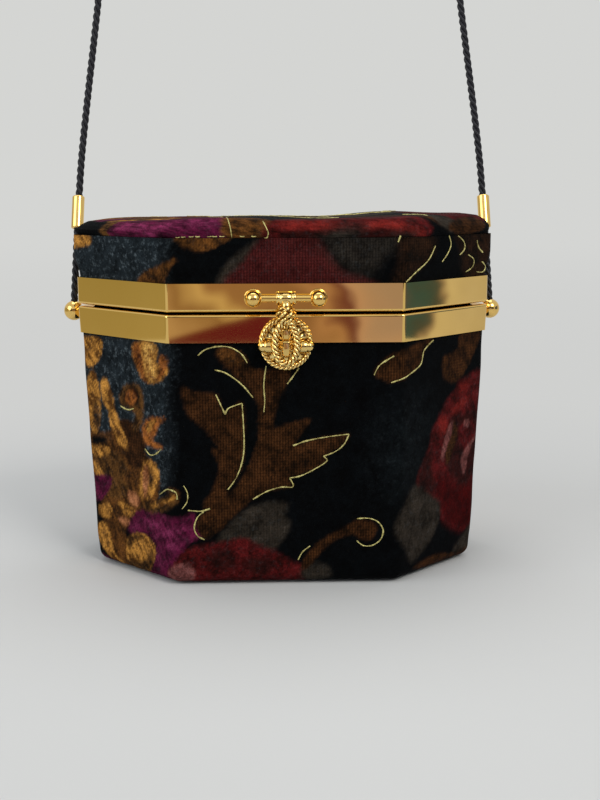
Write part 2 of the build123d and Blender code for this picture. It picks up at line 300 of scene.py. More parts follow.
# cord strap, one length from stud to stud
strap = {
    "half": [
        (85.02, 6.0, 100.06), (83.5, 20.0, 147.5), (81.6, 27.0, 172.0), (75.7, 41.0, 226.0),
        (71.8, 46.0, 262.0), (55.4, 48.0, 288.0), (27.8, 48.0, 302.0),
    ],
    "length": 0.511,
    "diameter": 0.003,
    "rope": {"strands": 3, "radius": 0.00078, "offset": 0.00074, "lay": 0.0098, "sides": 7},
    "step": 0.0007,
    "pathEvery": 6,
}
strapRoute = strap["half"] + [(-x, y, z) for x, y, z in reversed(strap["half"])]
strapCurve = bpy.data.curves.new("strapLine", "CURVE")
strapCurve.dimensions = "3D"
strapSpline = strapCurve.splines.new("NURBS")
strapSpline.points.add(len(strapRoute) - 1)
for point, place in zip(strapSpline.points, strapRoute):
    point.co = (*(Vector(place) * mm), 1)
strapSpline.order_u = 3
strapSpline.use_endpoint_u = True
strapSpline.resolution_u = 40
strapLine = bpy.data.objects.new("strapLine", strapCurve)
strapMesh = bpy.data.meshes.new_from_object(strapLine)
strapPoints = [v.co.copy() for v in strapMesh.vertices]
strapEven, carried = [strapPoints[0]], 0.0
for a, b in zip(strapPoints, strapPoints[1:]):
    span = (b - a).length
    while carried + strap["step"] <= span:
        carried += strap["step"]
        strapEven.append(a.lerp(b, carried / span))
    carried -= span
bpy.data.objects.remove(strapLine)
bm = bmesh.new()
twistRope(bm, strapEven, False, strap["rope"], Vector((0, 1, 0)))
strapRope = addObject("strapRope", meshFrom(bm, "strapRope"), "case")
strapRope.data.materials.append(cordBlack)
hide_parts("strap_cord")
print("strap made,", len(strapEven), "steps")

# eight-sided wall: u runs round from the middle of the front, to the right
case = {
    "seam": 102.5, "width": 80.6, "depth": 49.0, "side": 11.9, "stepIn": 5.2, "sideGrowth": 4.3,
    "corner": 4.5, "cover": 0.9, "top": 101.5, "lidLow": 104.3, "lidFrameTop": 113.7, "lidTop": 130.1,
}
eighthTurn = math.pi / 4
mitre = math.tan(eighthTurn / 2)
hair = 1e-6


def eightCorners(rise, inset):
    wide = case["width"] - case["stepIn"] * (1 - rise) - inset
    side = case["side"] + case["sideGrowth"] * (1 - rise) - inset * mitre
    deep = case["depth"] - inset
    front = wide - deep + side
    right = [Vector((front, -deep)), Vector((wide, -side)), Vector((wide, side)), Vector((front, deep))]
    return right + [-corner for corner in right]


def wallRuns():
    corners = eightCorners(1, case["cover"])
    middle = Vector((0, corners[0].y))
    stops = [middle] + corners + [middle]
    runs, at, last = [], 0.0, len(corners)
    for k in range(last + 1):
        trim = case["corner"] * mitre * (2 if 0 < k < last else 1)
        long = (stops[k + 1] - stops[k]).length - trim
        runs.append((k, False, at, long))
        at += long
        if k < last:
            runs.append((k, True, at, case["corner"] * eighthTurn))
            at += case["corner"] * eighthTurn
    return runs, at


runs, roundTheWall = wallRuns()
halfRound = roundTheWall / 2


def outlinePoint(u, rise, inset, corner):
    corners = eightCorners(rise, inset)
    middle = Vector((0, corners[0].y))
    stops = [middle] + corners + [middle]
    u = u % roundTheWall
    for k, bent, at, long in runs:
        if u <= at + long + hair:
            break
    share = (u - at) / long
    along = (stops[k + 1] - stops[k]).normalized()
    trim = corner * mitre
    if not bent:
        start = stops[k] + along * (trim if k > 0 else 0)
        end = stops[k + 1] - along * (trim if k < len(corners) else 0)
        return start.lerp(end, share)
    start = stops[k + 1] - along * trim
    angle = share * eighthTurn
    inward = Vector((-along.y, along.x))
    return start + corner * (math.sin(angle) * along + (1 - math.cos(angle)) * inward)


def step01(value):
    value = min(1.0, max(0.0, value))
    return value * value * (3 - 2 * value)


hem = {"edge": 4.5, "round": 4.2, "inner": -3.9, "least": 0.6}
# slack of the cloth on its boards: where it starts and ends, how far it stands off, and its waves
slack = {
    "low": 8, "high": 88, "fade": 12, "stand": 0.3, "swing": 0.45, "across": 0.045, "up": 0.05, "seed": 2.6,
}


def casePoint(u, v, lift=0.0):
    if v >= hem["edge"]:
        loose = step01((v - hem["edge"]) / slack["low"]) * step01((slack["high"] - v) / slack["fade"])
        spot = Vector((u % roundTheWall * slack["across"], v * slack["up"], slack["seed"]))
        lift += loose * (slack["stand"] + slack["swing"] * noise.noise(spot))
        z, inset = v, case["cover"] - lift
    else:
        turn = (hem["edge"] - v) / hem["round"]
        bend = min(turn, math.pi / 2)
        z = hem["edge"] - (hem["round"] + lift) * math.sin(bend)
        inset = case["cover"] + hem["round"] - (hem["round"] + lift) * math.cos(bend)
        inset += max(0.0, turn - math.pi / 2) * hem["round"]
    corner = max(hem["least"], case["corner"] + case["cover"] - inset)
    place = outlinePoint(u, z / case["seam"], inset, corner)
    return Vector((place.x, place.y, z)) * mm


# the lid's cloth swells past the frame at the front, and lies flat beside the strap and behind it
swell = {"most": 2.0, "start": 10, "dip": 0.45, "dipFrom": -30, "dipOver": 14, "rise": 10}


def lidBulge(y):
    dip = swell["dip"] * step01((swell["dipFrom"] - y) / swell["dipOver"])
    return swell["most"] * step01(-y / swell["start"]) * (1 - dip)


def bandPoint(u, v, lift=0.0):
    flat = outlinePoint(u, 1, case["cover"], case["corner"])
    out = lift + lidBulge(flat.y) * step01((v - case["lidFrameTop"]) / swell["rise"])
    place = outlinePoint(u, 1, case["cover"] - out, case["corner"] + out)
    return Vector((place.x, place.y, v)) * mm


def smoothLine(points, closed, steps=4):
    out, count = [], len(points)
    for i in range(count if closed else count - 1):
        if closed:
            a, b, c, d = (points[(i + k) % count] for k in (-1, 0, 1, 2))
        else:
            a, b, c, d = (points[min(max(i + k, 0), count - 1)] for k in (-1, 0, 1, 2))
        a, b, c, d = (Vector(p[:2]) for p in (a, b, c, d))
        for step in range(steps):
            t = step / steps
            out.append(0.5 * (
                2 * b + (c - a) * t + (2 * a - 5 * b + 4 * c - d) * t ** 2 + (3 * b - a - 3 * c + d) * t ** 3
            ))
    if not closed:
        out.append(Vector(points[-1][:2]))
    return out


# a colour field of the velvet: a dye of the print, except the slate and dusk fields, painted sheen of the
# pile, and the bright rose field, a painted highlight; shade, light, how mottled and brushed, how soft at
# the edge, how much painted sheen of crushed pile it shows and how ribbed
def swatch(shade, light, streak, stroke, soft, sheenShare, rib):
    return {
        "shade": np.array(shade), "light": np.array(light), "streak": streak, "stroke": stroke, "soft": soft,
        "sheenAndRib": (sheenShare, rib),
    }


swatches = {
    "ground": swatch((0.0001, 0.0001, 0.0002), (0.0014, 0.0022, 0.0029), 1.2, 0.3, 1.0, 0.012, 0.0),
    # slate and dusk are painted sheen of the pile on the black ground
    "slateSheen": swatch((0.0025, 0.0042, 0.0054), (0.020, 0.028, 0.034), 1.4, 0.3, 5.0, 0.85, 0.0),
    "duskSheen": swatch((0.0006, 0.0010, 0.0014), (0.0055, 0.0080, 0.0094), 1.4, 0.3, 10.0, 0.08, 0.0),
    "brown": swatch((0.0075, 0.0031, 0.0010), (0.054, 0.0195, 0.0058), 1.7, 0.55, 0.7, 0.0, 0.4),
    "umber": swatch((0.0030, 0.0016, 0.0008), (0.024, 0.0098, 0.0042), 1.7, 0.55, 2.4, 0.02, 0.35),
    "bronze": swatch((0.018, 0.0075, 0.0022), (0.14, 0.052, 0.011), 1.8, 0.7, 0.7, 0.05, 0.15),
    "rose": swatch((0.014, 0.0018, 0.0012), (0.105, 0.0075, 0.008), 1.5, 0.5, 1.1, 0.12, 0.0),
    "roseDark": swatch((0.007, 0.0016, 0.0012), (0.040, 0.006, 0.005), 1.5, 0.3, 1.6, 0.1, 0.0),
    "roseDeep": swatch((0.014, 0.0006, 0.0005), (0.072, 0.0022, 0.0022), 1.0, 0.4, 3.0, 0.03, 0.0),
    # the bright rose is a painted highlight
    "roseHighlight": swatch((0.07, 0.005, 0.004), (0.20, 0.016, 0.012), 1.5, 0.5, 1.8, 0.1, 0.0),
    "rosePink": swatch((0.06, 0.018, 0.016), (0.23, 0.075, 0.068), 1.8, 0.6, 0.6, 0.2, 0.0),
    "crimson": swatch((0.021, 0.0026, 0.0024), (0.078, 0.013, 0.012), 1.0, 0.3, 1.4, 0.12, 0.3),
    "taupe": swatch((0.007, 0.0054, 0.0036), (0.040, 0.031, 0.023), 1.4, 0.3, 1.3, 0.12, 0.15),
    "smoke": swatch((0.0045, 0.0036, 0.0028), (0.027, 0.022, 0.017), 1.5, 0.3, 4.5, 0.12, 0.3),
    "purple": swatch((0.019, 0.0018, 0.0075), (0.125, 0.009, 0.043), 1.6, 0.6, 0.7, 0.12, 0.0),
    "purpleLight": swatch((0.05, 0.0045, 0.019), (0.215, 0.026, 0.085), 1.9, 0.7, 1.6, 0.1, 0.0),
    "copper": swatch((0.045, 0.012, 0.0025), (0.40, 0.13, 0.026), 2.1, 0.5, 0.7, 0.15, 0.0),
    "spark": swatch((0.16, 0.055, 0.010), (0.82, 0.46, 0.11), 2.3, 0.3, 1.2, 0.3, 0.2),
    "salmon": swatch((0.13, 0.042, 0.014), (0.50, 0.20, 0.085), 1.8, 0.7, 0.8, 0.1, 0.0),
    "gold": swatch((0.085, 0.032, 0.006), (0.54, 0.245, 0.046), 2.0, 1.0, 0.5, 0.1, 0.0),
    "goldDark": swatch((0.016, 0.0075, 0.0025), (0.13, 0.055, 0.013), 1.8, 0.9, 0.9, 0.1, 0.0),
}


def inOutline(outline, u, v):
    inside = np.zeros(len(u), bool)
    for a, b in zip(outline, outline[1:] + outline[:1]):
        if a.y != b.y:
            inside ^= ((a.y > v) != (b.y > v)) & (u < (b.x - a.x) * (v - a.y) / (b.y - a.y) + a.x)
    return inside


def field(u, v, scale, seed, octaves=3):
    spots = [Vector((a * scale, b * scale, seed)) for a, b in zip(u, v)]
    return np.array([noise.fractal(spot, 1.0, 2.0, octaves) for spot in spots])


# how a colour field lies: blotches, slanting strokes, single threads, and edges that fray over a thread or
# two
brush = {
    "blotch": {"scale": 0.16, "seed": 4.0, "octaves": 4},
    "strokeAlong": 0.85,
    "strokeAcross": 0.17,
    "strokeSlant": (0.77, 0.64),
    "stroke": {"scale": 1.0, "seed": 9.0},
    "thread": {"scale": 0.75, "seed": 6.0},
    "fray": 0.55,
    "frayScale": 0.8,
    "blotchShare": 0.6,
    "threadShare": 0.45,
    "middle": 0.42,
    "gain": 0.55,
    "taps": 13,
    "tapTurn": 2.4,
    "margin": 1.2,
}


def swatchPoints(u, v, motifs):
    blotches = field(u, v, **brush["blotch"])
    run, drop = brush["strokeSlant"]
    along, across = brush["strokeAlong"] * (run * u + drop * v), brush["strokeAcross"] * (run * v - drop * u)
    strokes = field(along, across, **brush["stroke"])
    threads = field(u, v, **brush["thread"])
    frayU, frayV = (brush["fray"] * field(u, v, brush["frayScale"], seed) for seed in (1.0, 2.0))
    result = np.zeros((len(u), 5))

    def lay(tint, where, cover):
        mottle = brush["blotchShare"] * blotches[where] + tint["stroke"] * strokes[where]
        mottle += brush["threadShare"] * threads[where]
        share = np.clip(brush["middle"] + brush["gain"] * tint["streak"] * mottle, 0, 1)[:, None]
        colour = tint["shade"] * (1 - share) + tint["light"] * share
        full = np.hstack([colour, np.tile(tint["sheenAndRib"], (len(colour), 1))])
        result[where] += (full - result[where]) * cover[:, None]

    lay(swatches["ground"], np.arange(len(u)), np.ones(len(u)))
    for kind, points in motifs:
        outline = smoothLine(points, True)
        us, vs = [p.x for p in outline], [p.y for p in outline]
        soft = swatches[kind]["soft"]
        near = soft + brush["margin"]
        close = (u > min(us) - near) & (u < max(us) + near) & (v > min(vs) - near) & (v < max(vs) + near)
        where = np.nonzero(close)[0]
        cover = np.zeros(len(where))
        # a spiral of taps over the soft edge
        for k in range(brush["taps"]):
            reach, turn = soft * math.sqrt(k / (brush["taps"] - 1)), brush["tapTurn"] * k
            du, dv = reach * math.cos(turn), reach * math.sin(turn)
            inside = inOutline(outline, u[where] + frayU[where] + du, v[where] + frayV[where] + dv)
            cover += inside / brush["taps"]
        lay(swatches[kind], where, cover)
    return result


def swatchMesh(mesh, spots, motifs):
    u, v = np.array([s[0] for s in spots]), np.array([s[1] for s in spots])
    printAndSheen = swatchPoints(u, v, motifs)
    shades = mesh.attributes.new("print", "FLOAT_COLOR", "POINT")
    shades.data.foreach_set("color", printAndSheen[:, :4].astype(np.float32).ravel())
    ribs = mesh.attributes.new("rib", "FLOAT", "POINT")
    ribs.data.foreach_set("value", printAndSheen[:, 4].astype(np.float32))
    mesh.materials.append(velvet)


# a seam at the middle of the left side lets the whole round lie flat
thread = 0.85
leastThread = 0.2
wallColumns = []
for k, bent, at, long in runs:
    count = max(1, math.ceil(long / thread))
    wallColumns += [at + long * i / count for i in range(count)]
wallSeam = -roundTheWall / 4
wallColumns = sorted((u - wallSeam) % roundTheWall + wallSeam for u in wallColumns)
wallColumns = [wallSeam] + [u for u in wallColumns if u > leastThread + wallSeam] + [wallSeam + roundTheWall]


def clothMesh(name, rows, motifs, place):
    bm = bmesh.new()
    uvLayer = bm.loops.layers.uv.new("UVMap")
    spots = [(u, v) for u in wallColumns for v in rows]
    verts = [bm.verts.new(place(u, v)) for u, v in spots]
    count, low, tall = len(rows), rows[0], rows[-1] - rows[0]
    for i in range(len(wallColumns) - 1):
        for j in range(count - 1):
            corners = [i * count + j, (i + 1) * count + j, (i + 1) * count + j + 1, i * count + j + 1]
            face = bm.faces.new([verts[c] for c in corners])
            for loop, c in zip(face.loops, corners):
                loop[uvLayer].uv = ((spots[c][0] - wallSeam) / roundTheWall, (spots[c][1] - low) / tall)
    bmesh.ops.recalc_face_normals(bm, faces=bm.faces)
    mesh = meshFrom(bm, name)
    swatchMesh(mesh, spots, motifs)
    return mesh


stitch = {
    "caseRadius": 0.31 * mm, "crownRadius": 0.24 * mm, "lift": 0.05, "steps": 8,
    "thick": 0.85, "swing": 0.7, "scale": 0.5, "seed": 3.1,
}


def threadMesh(name, lines, place, radius):
    curve = bpy.data.curves.new(name, "CURVE")
    curve.dimensions = "3D"
    curve.bevel_depth = radius
    curve.bevel_resolution = 1
    curve.use_fill_caps = True
    for line in lines:
        loop = smoothLine(line, False, stitch["steps"])
        spline = curve.splines.new("POLY")
        spline.points.add(len(loop) - 1)
        for i, p in enumerate(loop):
            spot = Vector((p.x * stitch["scale"], p.y * stitch["scale"], stitch["seed"]))
            spline.points[i].co = (*place(p.x, p.y, stitch["lift"]), 1)
            spline.points[i].radius = stitch["thick"] + stitch["swing"] * noise.noise(spot)
    holder = bpy.data.objects.new(name, curve)
    mesh = bpy.data.meshes.new_from_object(holder)
    bpy.data.objects.remove(holder)
    mesh.materials.clear()
    mesh.materials.append(threadGold)
    return mesh


# the print, with its painted sheen and painted highlights, is placed on three enlargements of the
# photograph, then sighted onto the wall
photo = {"wide": 600, "tall": 800}
closeUps = {
    "whole": {"corner": (60, 200), "zoom": 3.484},
    "left": {"corner": (70, 330), "zoom": 5.806},
    "right": {"corner": (340, 330), "zoom": 5.806},
}
focal = camera.lens / camera.sensor_width * photo["tall"]
sighting = cameraObject.rotation_euler.to_matrix()
eye = cameraObject.location / mm
bendMiddles = [at + long / 2 for k, bent, at, long in runs if bent]


def onWall(spot, view, lid=False):
    closeUp = closeUps[view]
    px, py = (corner + place / closeUp["zoom"] for corner, place in zip(closeUp["corner"], spot))
    way = sighting @ Vector((px - photo["wide"] / 2, photo["tall"] / 2 - py, -focal))
    top = eightCorners(1, case["cover"])
    low = top if lid else eightCorners(0, case["cover"])
    lean = (top[0].x - low[0].x) / case["seam"]
    hit = eye + way * ((top[0].y - eye.y) / way.y)
    edge = low[0].x + lean * hit.z
    if abs(hit.x) <= edge:
        return hit.x / edge * bendMiddles[0], hit.z
    # past the corner the sight line meets the slanting side instead
    side = math.copysign(1, hit.x)
    gap = eye.y - top[0].y + low[0].x + lean * eye.z - side * eye.x
    hit = eye + way * (gap / (side * way.x - lean * way.z - way.y))
    corners = top if lid else eightCorners(hit.z / case["seam"], case["cover"])
    share = (hit.y - corners[0].y) / (corners[1].y - corners[0].y)
    return side * (bendMiddles[0] + share * (bendMiddles[1] - bendMiddles[0])), hit.z


def sightPicks(picks, lid=False):
    return [(kind, [onWall(spot, view, lid) for spot in spots]) for kind, view, spots in picks.values()]


def sightLines(stitches, lid=False):
    return [[onWall(spot, view, lid) for spot in line] for view, lines in stitches.items() for line in lines]


# each: colour field, enlargement, outline
casePicks = {
    # the first two fields are painted sheen on the black ground, and the gap between the gold fingers shows
    # the same painted sheen
    "sheenPatch": ("duskSheen", "right", [
        (230, 480), (330, 420), (450, 380), (520, 520), (490, 700), (440, 860), (350, 950), (230, 900),
        (190, 700),
    ]),
    "sheenField": ("slateSheen", "left", [
        (0, 20), (300, 30), (550, 60), (580, 200), (555, 400), (575, 600), (570, 800), (555, 930),
        (480, 960), (300, 900), (60, 880), (0, 500),
    ]),
    "scrollBed": ("bronze", "left", [
        (70, 600), (200, 590), (300, 560), (400, 600), (440, 720), (510, 800), (520, 960), (440, 1050),
        (340, 1120), (340, 1220), (480, 1260), (490, 1350), (430, 1430), (300, 1380), (215, 1290),
        (185, 1000), (110, 840),
    ]),
    "scrollShade": ("goldDark", "left", [
        (150, 700), (240, 690), (330, 770), (325, 840), (250, 870), (160, 810),
    ]),
    "scrollStem": ("brown", "left", [
        (265, 535), (340, 520), (415, 590), (440, 690), (400, 800), (340, 760), (325, 690), (290, 620),
    ]),
    "fingerOne": ("gold", "left", [
        (118, 242), (150, 248), (168, 330), (180, 430), (168, 585), (128, 580), (90, 480), (88, 350),
    ]),
    "fingerOneShade": ("goldDark", "left", [(140, 420), (165, 440), (172, 540), (150, 560), (132, 500)]),
    "fingerTwo": ("gold", "left", [
        (183, 292), (215, 284), (238, 350), (262, 430), (240, 470), (200, 430), (180, 350),
    ]),
    "fingerGap": ("slateSheen", "left", [
        (172, 470), (205, 470), (225, 540), (215, 600), (188, 590), (176, 540),
    ]),
    "fingerThree": ("gold", "left", [
        (222, 425), (255, 435), (292, 530), (330, 630), (346, 692), (314, 694), (268, 625), (236, 545),
    ]),
    "darkSlit": ("ground", "left", [(135, 612), (190, 615), (225, 640), (190, 660), (138, 655)]),
    "edgeCurl": ("gold", "left", [(110, 664), (180, 662), (240, 690), (215, 722), (150, 730)]),
    "edgeBead": ("gold", "left", [(120, 760), (165, 780), (200, 850), (170, 860), (120, 830)]),
    "ringStalk": ("goldDark", "left", [
        (310, 330), (360, 310), (410, 328), (428, 388), (432, 470), (420, 545), (388, 585), (362, 562),
        (384, 490), (352, 460), (308, 444), (288, 392),
    ]),
    "ringHollow": ("ground", "left", [
        (335, 344), (372, 334), (402, 370), (396, 428), (354, 444), (320, 424), (314, 378),
    ]),
    "ringEye": ("copper", "left", [
        (338, 354), (370, 344), (392, 374), (386, 418), (354, 432), (328, 416), (324, 382),
    ]),
    "flame": ("copper", "left", [
        (430, 545), (470, 506), (522, 510), (562, 516), (520, 546), (508, 592), (480, 640), (532, 668),
        (532, 692), (488, 684), (438, 652), (424, 600),
    ]),
    "flameHeart": ("gold", "left", [
        (452, 545), (486, 522), (508, 524), (486, 556), (470, 600), (450, 590),
    ]),
    "tassel": ("gold", "left", [
        (425, 780), (468, 750), (512, 800), (516, 872), (490, 955), (448, 992), (408, 962), (416, 870),
    ]),
    "tasselBlush": ("salmon", "left", [
        (432, 800), (452, 790), (462, 860), (452, 950), (434, 965), (428, 880),
    ]),
    "tasselShade": ("goldDark", "left", [(470, 800), (482, 800), (486, 880), (474, 930), (466, 880)]),
    "nest": ("goldDark", "left", [(225, 880), (300, 860), (340, 900), (330, 960), (260, 980), (222, 940)]),
    "budOne": ("salmon", "left", [(338, 938), (378, 944), (412, 990), (392, 1022), (350, 992)]),
    "budTwo": ("gold", "left", [(280, 1000), (330, 1008), (388, 1058), (370, 1092), (310, 1062)]),
    "budThree": ("salmon", "left", [(283, 1088), (340, 1094), (362, 1122), (318, 1134)]),
    "lowBead": ("gold", "left", [(170, 1012), (232, 1010), (246, 1060), (232, 1094), (175, 1070)]),
    "lowStroke": ("gold", "left", [
        (165, 1118), (226, 1126), (240, 1200), (262, 1292), (306, 1354), (268, 1362), (205, 1280),
        (165, 1200),
    ]),
    "sidePurple": ("purple", "left", [
        (130, 848), (238, 846), (240, 900), (212, 950), (180, 985), (140, 970),
    ]),
    "comma": ("gold", "whole", [
        (250, 506), (300, 490), (338, 510), (338, 566), (372, 582), (372, 612), (340, 638), (300, 632),
        (276, 600), (258, 560),
    ]),
    "cornerGold": ("gold", "whole", [(60, 480), (138, 480), (146, 524), (130, 566), (100, 580), (60, 540)]),
    "commaLeft": ("copper", "left", [
        (365, 85), (400, 80), (420, 180), (440, 270), (470, 305), (430, 290), (395, 220), (368, 150),
    ]),
    "commaSpark": ("spark", "left", [
        (428, 85), (486, 82), (484, 150), (490, 215), (500, 285), (470, 296), (448, 250), (436, 170),
    ]),
    "commaRight": ("copper", "left", [
        (520, 150), (556, 160), (566, 200), (545, 262), (500, 298), (520, 240),
    ]),
    "purpleLeaf": ("purple", "whole", [
        (236, 1150), (256, 1096), (300, 1076), (360, 1092), (420, 1104), (468, 1088), (470, 1140),
        (490, 1172), (450, 1196), (418, 1232), (400, 1262), (384, 1320), (350, 1350), (296, 1335),
        (330, 1262), (338, 1205), (300, 1162), (262, 1160),
    ]),
    "purpleStrokeOne": ("purpleLight", "left", [
        (345, 1150), (392, 1108), (460, 1098), (552, 1140), (480, 1150), (420, 1140), (372, 1168),
    ]),
    "purpleStrokeTwo": ("purpleLight", "left", [
        (480, 1190), (590, 1152), (690, 1128), (630, 1182), (545, 1222),
    ]),
    "purpleStrokeThree": ("purpleLight", "left", [(506, 1268), (542, 1288), (548, 1370), (522, 1388)]),
    "purpleStrokeFour": ("purpleLight", "left", [
        (560, 1250), (620, 1215), (690, 1195), (640, 1250), (590, 1290),
    ]),
    "purpleHem": ("purple", "left", [(150, 1290), (230, 1330), (290, 1390), (240, 1420), (150, 1390)]),
    "hook": ("goldDark", "left", [
        (440, 1000), (505, 990), (575, 962), (556, 930), (600, 922), (634, 965), (612, 1012), (560, 1052),
        (490, 1062), (440, 1042),
    ]),
    "hookLight": ("gold", "left", [
        (470, 1015), (556, 992), (606, 958), (604, 988), (552, 1014), (492, 1032),
    ]),
    "knob": ("gold", "left", [
        (345, 1195), (420, 1178), (494, 1240), (498, 1320), (450, 1402), (370, 1402), (328, 1340),
        (332, 1250),
    ]),
    "knobUnder": ("goldDark", "left", [
        (352, 1330), (400, 1345), (452, 1320), (480, 1270), (494, 1322), (448, 1400), (372, 1400),
        (336, 1350),
    ]),
    "knobOver": ("goldDark", "left", [
        (345, 1200), (410, 1185), (440, 1205), (380, 1225), (352, 1270), (338, 1250),
    ]),
    "leafTop": ("brown", "whole", [
        (540, 530), (600, 560), (660, 580), (720, 592), (800, 588), (790, 640), (764, 690), (745, 760),
        (735, 830), (705, 870), (690, 800), (692, 720), (672, 678), (620, 622), (560, 565),
    ]),
    "leafTip": ("bronze", "whole", [
        (545, 520), (600, 518), (640, 545), (652, 568), (600, 575), (560, 552),
    ]),
    "leafLeft": ("brown", "whole", [
        (420, 655), (470, 668), (545, 680), (560, 725), (576, 747), (604, 718), (638, 708), (642, 800),
        (640, 890), (622, 955), (590, 1008), (560, 1060), (520, 1100), (498, 1062), (535, 1000),
        (552, 930), (528, 868), (552, 862), (500, 795), (446, 748),
    ]),
    "petalGrey": ("taupe", "whole", [
        (545, 1195), (580, 1140), (620, 1100), (670, 1068), (740, 1050), (792, 1060), (780, 1100),
        (802, 1130), (770, 1190), (735, 1222), (690, 1205), (620, 1195),
    ]),
    "leafRight": ("brown", "whole", [
        (690, 835), (740, 800), (800, 778), (872, 763), (846, 806), (815, 856), (870, 836), (940, 824),
        (1006, 815), (988, 852), (918, 893), (928, 910), (880, 940), (800, 968), (812, 998), (740, 1008),
        (672, 1042), (620, 1085), (560, 1145), (505, 1178), (478, 1150), (482, 1108), (540, 1062),
        (612, 1000), (668, 900),
    ]),
    "roseLow": ("rose", "whole", [
        (372, 1315), (400, 1262), (432, 1222), (480, 1204), (560, 1190), (640, 1176), (700, 1208),
        (750, 1222), (800, 1255), (852, 1280), (842, 1345), (760, 1370), (600, 1374), (480, 1372),
        (400, 1365),
    ]),
    "roseLowPink": ("rosePink", "whole", [
        (375, 1310), (395, 1275), (440, 1265), (470, 1300), (455, 1335), (400, 1338),
    ]),
    "roseLowHollow": ("roseDark", "whole", [
        (520, 1230), (570, 1222), (610, 1250), (590, 1290), (545, 1285),
    ]),
    "roseLowFold": ("roseDark", "whole", [(660, 1240), (720, 1250), (740, 1290), (690, 1310), (650, 1280)]),
    "budGrey": ("taupe", "whole", [
        (840, 1285), (880, 1262), (935, 1280), (940, 1320), (890, 1335), (845, 1325),
    ]),
    "curlStem": ("brown", "whole", [
        (842, 1262), (880, 1212), (930, 1172), (990, 1140), (1040, 1112), (1088, 1120), (1104, 1150),
        (1082, 1182), (1048, 1180), (1020, 1164), (960, 1184), (900, 1236), (856, 1290),
    ]),
    "leafCorner": ("brown", "right", [
        (700, 20), (820, 15), (785, 110), (742, 205), (680, 292), (612, 292), (590, 232), (600, 155),
        (680, 112),
    ]),
    "rose": ("rose", "right", [
        (830, 240), (742, 258), (680, 330), (620, 400), (575, 490), (530, 580), (510, 680), (470, 780),
        (438, 862), (450, 925), (520, 962), (575, 1010), (585, 1100), (690, 1166), (742, 1130),
        (800, 1060), (830, 800), (840, 500),
    ]),
    "roseDepth": ("roseDeep", "right", [
        (520, 880), (600, 850), (690, 900), (790, 850), (790, 1050), (700, 1155), (600, 1105), (580, 1000),
    ]),
    # the three gleams below are painted highlights on the rose
    "roseGleamTop": ("roseHighlight", "right", [(680, 315), (722, 288), (752, 300), (730, 340), (692, 360)]),
    "roseGleamSide": ("roseHighlight", "right", [(566, 535), (606, 500), (622, 560), (596, 612), (566, 600)]),
    "roseGleamMiddle": ("roseHighlight", "right", [
        (640, 450), (690, 410), (740, 400), (700, 450), (655, 490),
    ]),
    "roseHollow": ("roseDark", "right", [
        (600, 620), (650, 520), (720, 485), (810, 462), (820, 620), (810, 720), (745, 872), (705, 905),
        (640, 835), (598, 760),
    ]),
    "roseFold": ("brown", "right", [
        (622, 570), (660, 530), (680, 600), (650, 700), (620, 780), (606, 700),
    ]),
    "roseHeart": ("rose", "right", [
        (690, 560), (760, 520), (800, 560), (770, 640), (720, 690), (690, 640),
    ]),
    "rosePetalOne": ("rosePink", "right", [
        (655, 530), (640, 610), (610, 690), (594, 752), (580, 728), (600, 640), (632, 550),
    ]),
    "rosePetalTwo": ("rosePink", "right", [
        (796, 590), (764, 660), (740, 730), (722, 832), (706, 800), (700, 732), (752, 650),
    ]),
    "roseFleck": ("rosePink", "right", [(720, 520), (750, 528), (740, 560), (718, 552)]),
    "roseEdge": ("roseDark", "right", [
        (470, 780), (512, 690), (530, 720), (520, 800), (560, 900), (520, 950), (455, 920), (440, 862),
    ]),
    "leafGrey": ("taupe", "right", [
        (430, 900), (380, 980), (330, 1100), (320, 1180), (360, 1260), (410, 1350), (470, 1290),
        (530, 1200), (570, 1100), (575, 1010), (520, 960),
    ]),
    "leafOlive": ("taupe", "right", [
        (800, 1070), (742, 1140), (690, 1220), (655, 1270), (692, 1292), (800, 1240),
    ]),
    "hemBrown": ("brown", "right", [
        (660, 1292), (560, 1300), (480, 1340), (425, 1392), (600, 1400), (780, 1310), (800, 1232),
    ]),
    "leafSmall": ("brown", "whole", [
        (1096, 608), (1118, 566), (1164, 534), (1226, 508), (1300, 478), (1272, 524), (1258, 566),
        (1230, 598), (1156, 634),
    ]),
}
caseStitches = {
    "whole": [
        [(480, 542), (505, 522), (545, 511), (590, 513), (630, 535), (652, 567)],
        [(538, 592), (570, 600), (604, 620), (638, 648), (672, 688)],
        [(718, 578), (710, 640), (713, 700), (710, 738)],
        [(832, 585), (815, 610), (792, 640)],
        [(542, 678), (560, 715), (575, 747)],
        [(575, 747), (584, 728), (606, 717), (634, 708)],
        [(634, 708), (638, 770), (641, 860), (632, 920), (612, 970), (585, 1008)],
        [(812, 855), (860, 838), (930, 825), (1008, 815)],
        [(1008, 815), (990, 850), (960, 875), (918, 892)],
        [(918, 892), (930, 908), (890, 935), (840, 960), (800, 968)],
        [(800, 968), (812, 998), (770, 1000), (720, 1015), (672, 1042)],
        [(445, 1080), (490, 1083), (522, 1074)],
        [(500, 1085), (478, 1105), (467, 1140), (478, 1168), (502, 1182)],
        [(430, 995), (443, 1020), (442, 1050), (425, 1075)],
        [(352, 1025), (378, 1008), (402, 1018), (408, 1042)],
        [
            (1035, 1110), (1075, 1108), (1108, 1120), (1126, 1148),
            (1118, 1180), (1090, 1201), (1058, 1203), (1034, 1186),
        ],
        [(830, 1252), (845, 1225), (872, 1204)],
        [(1095, 610), (1115, 575), (1165, 543)],
        [(1300, 488), (1268, 524), (1256, 570), (1225, 600), (1155, 636)],
    ],
    "left": [
        [(440, 690), (470, 725), (505, 718), (532, 692)],
        [(300, 440), (325, 455), (350, 462), (375, 455)],
    ],
}
casePrintAndLight = sightPicks(casePicks)
caseThreads = sightLines(caseStitches)


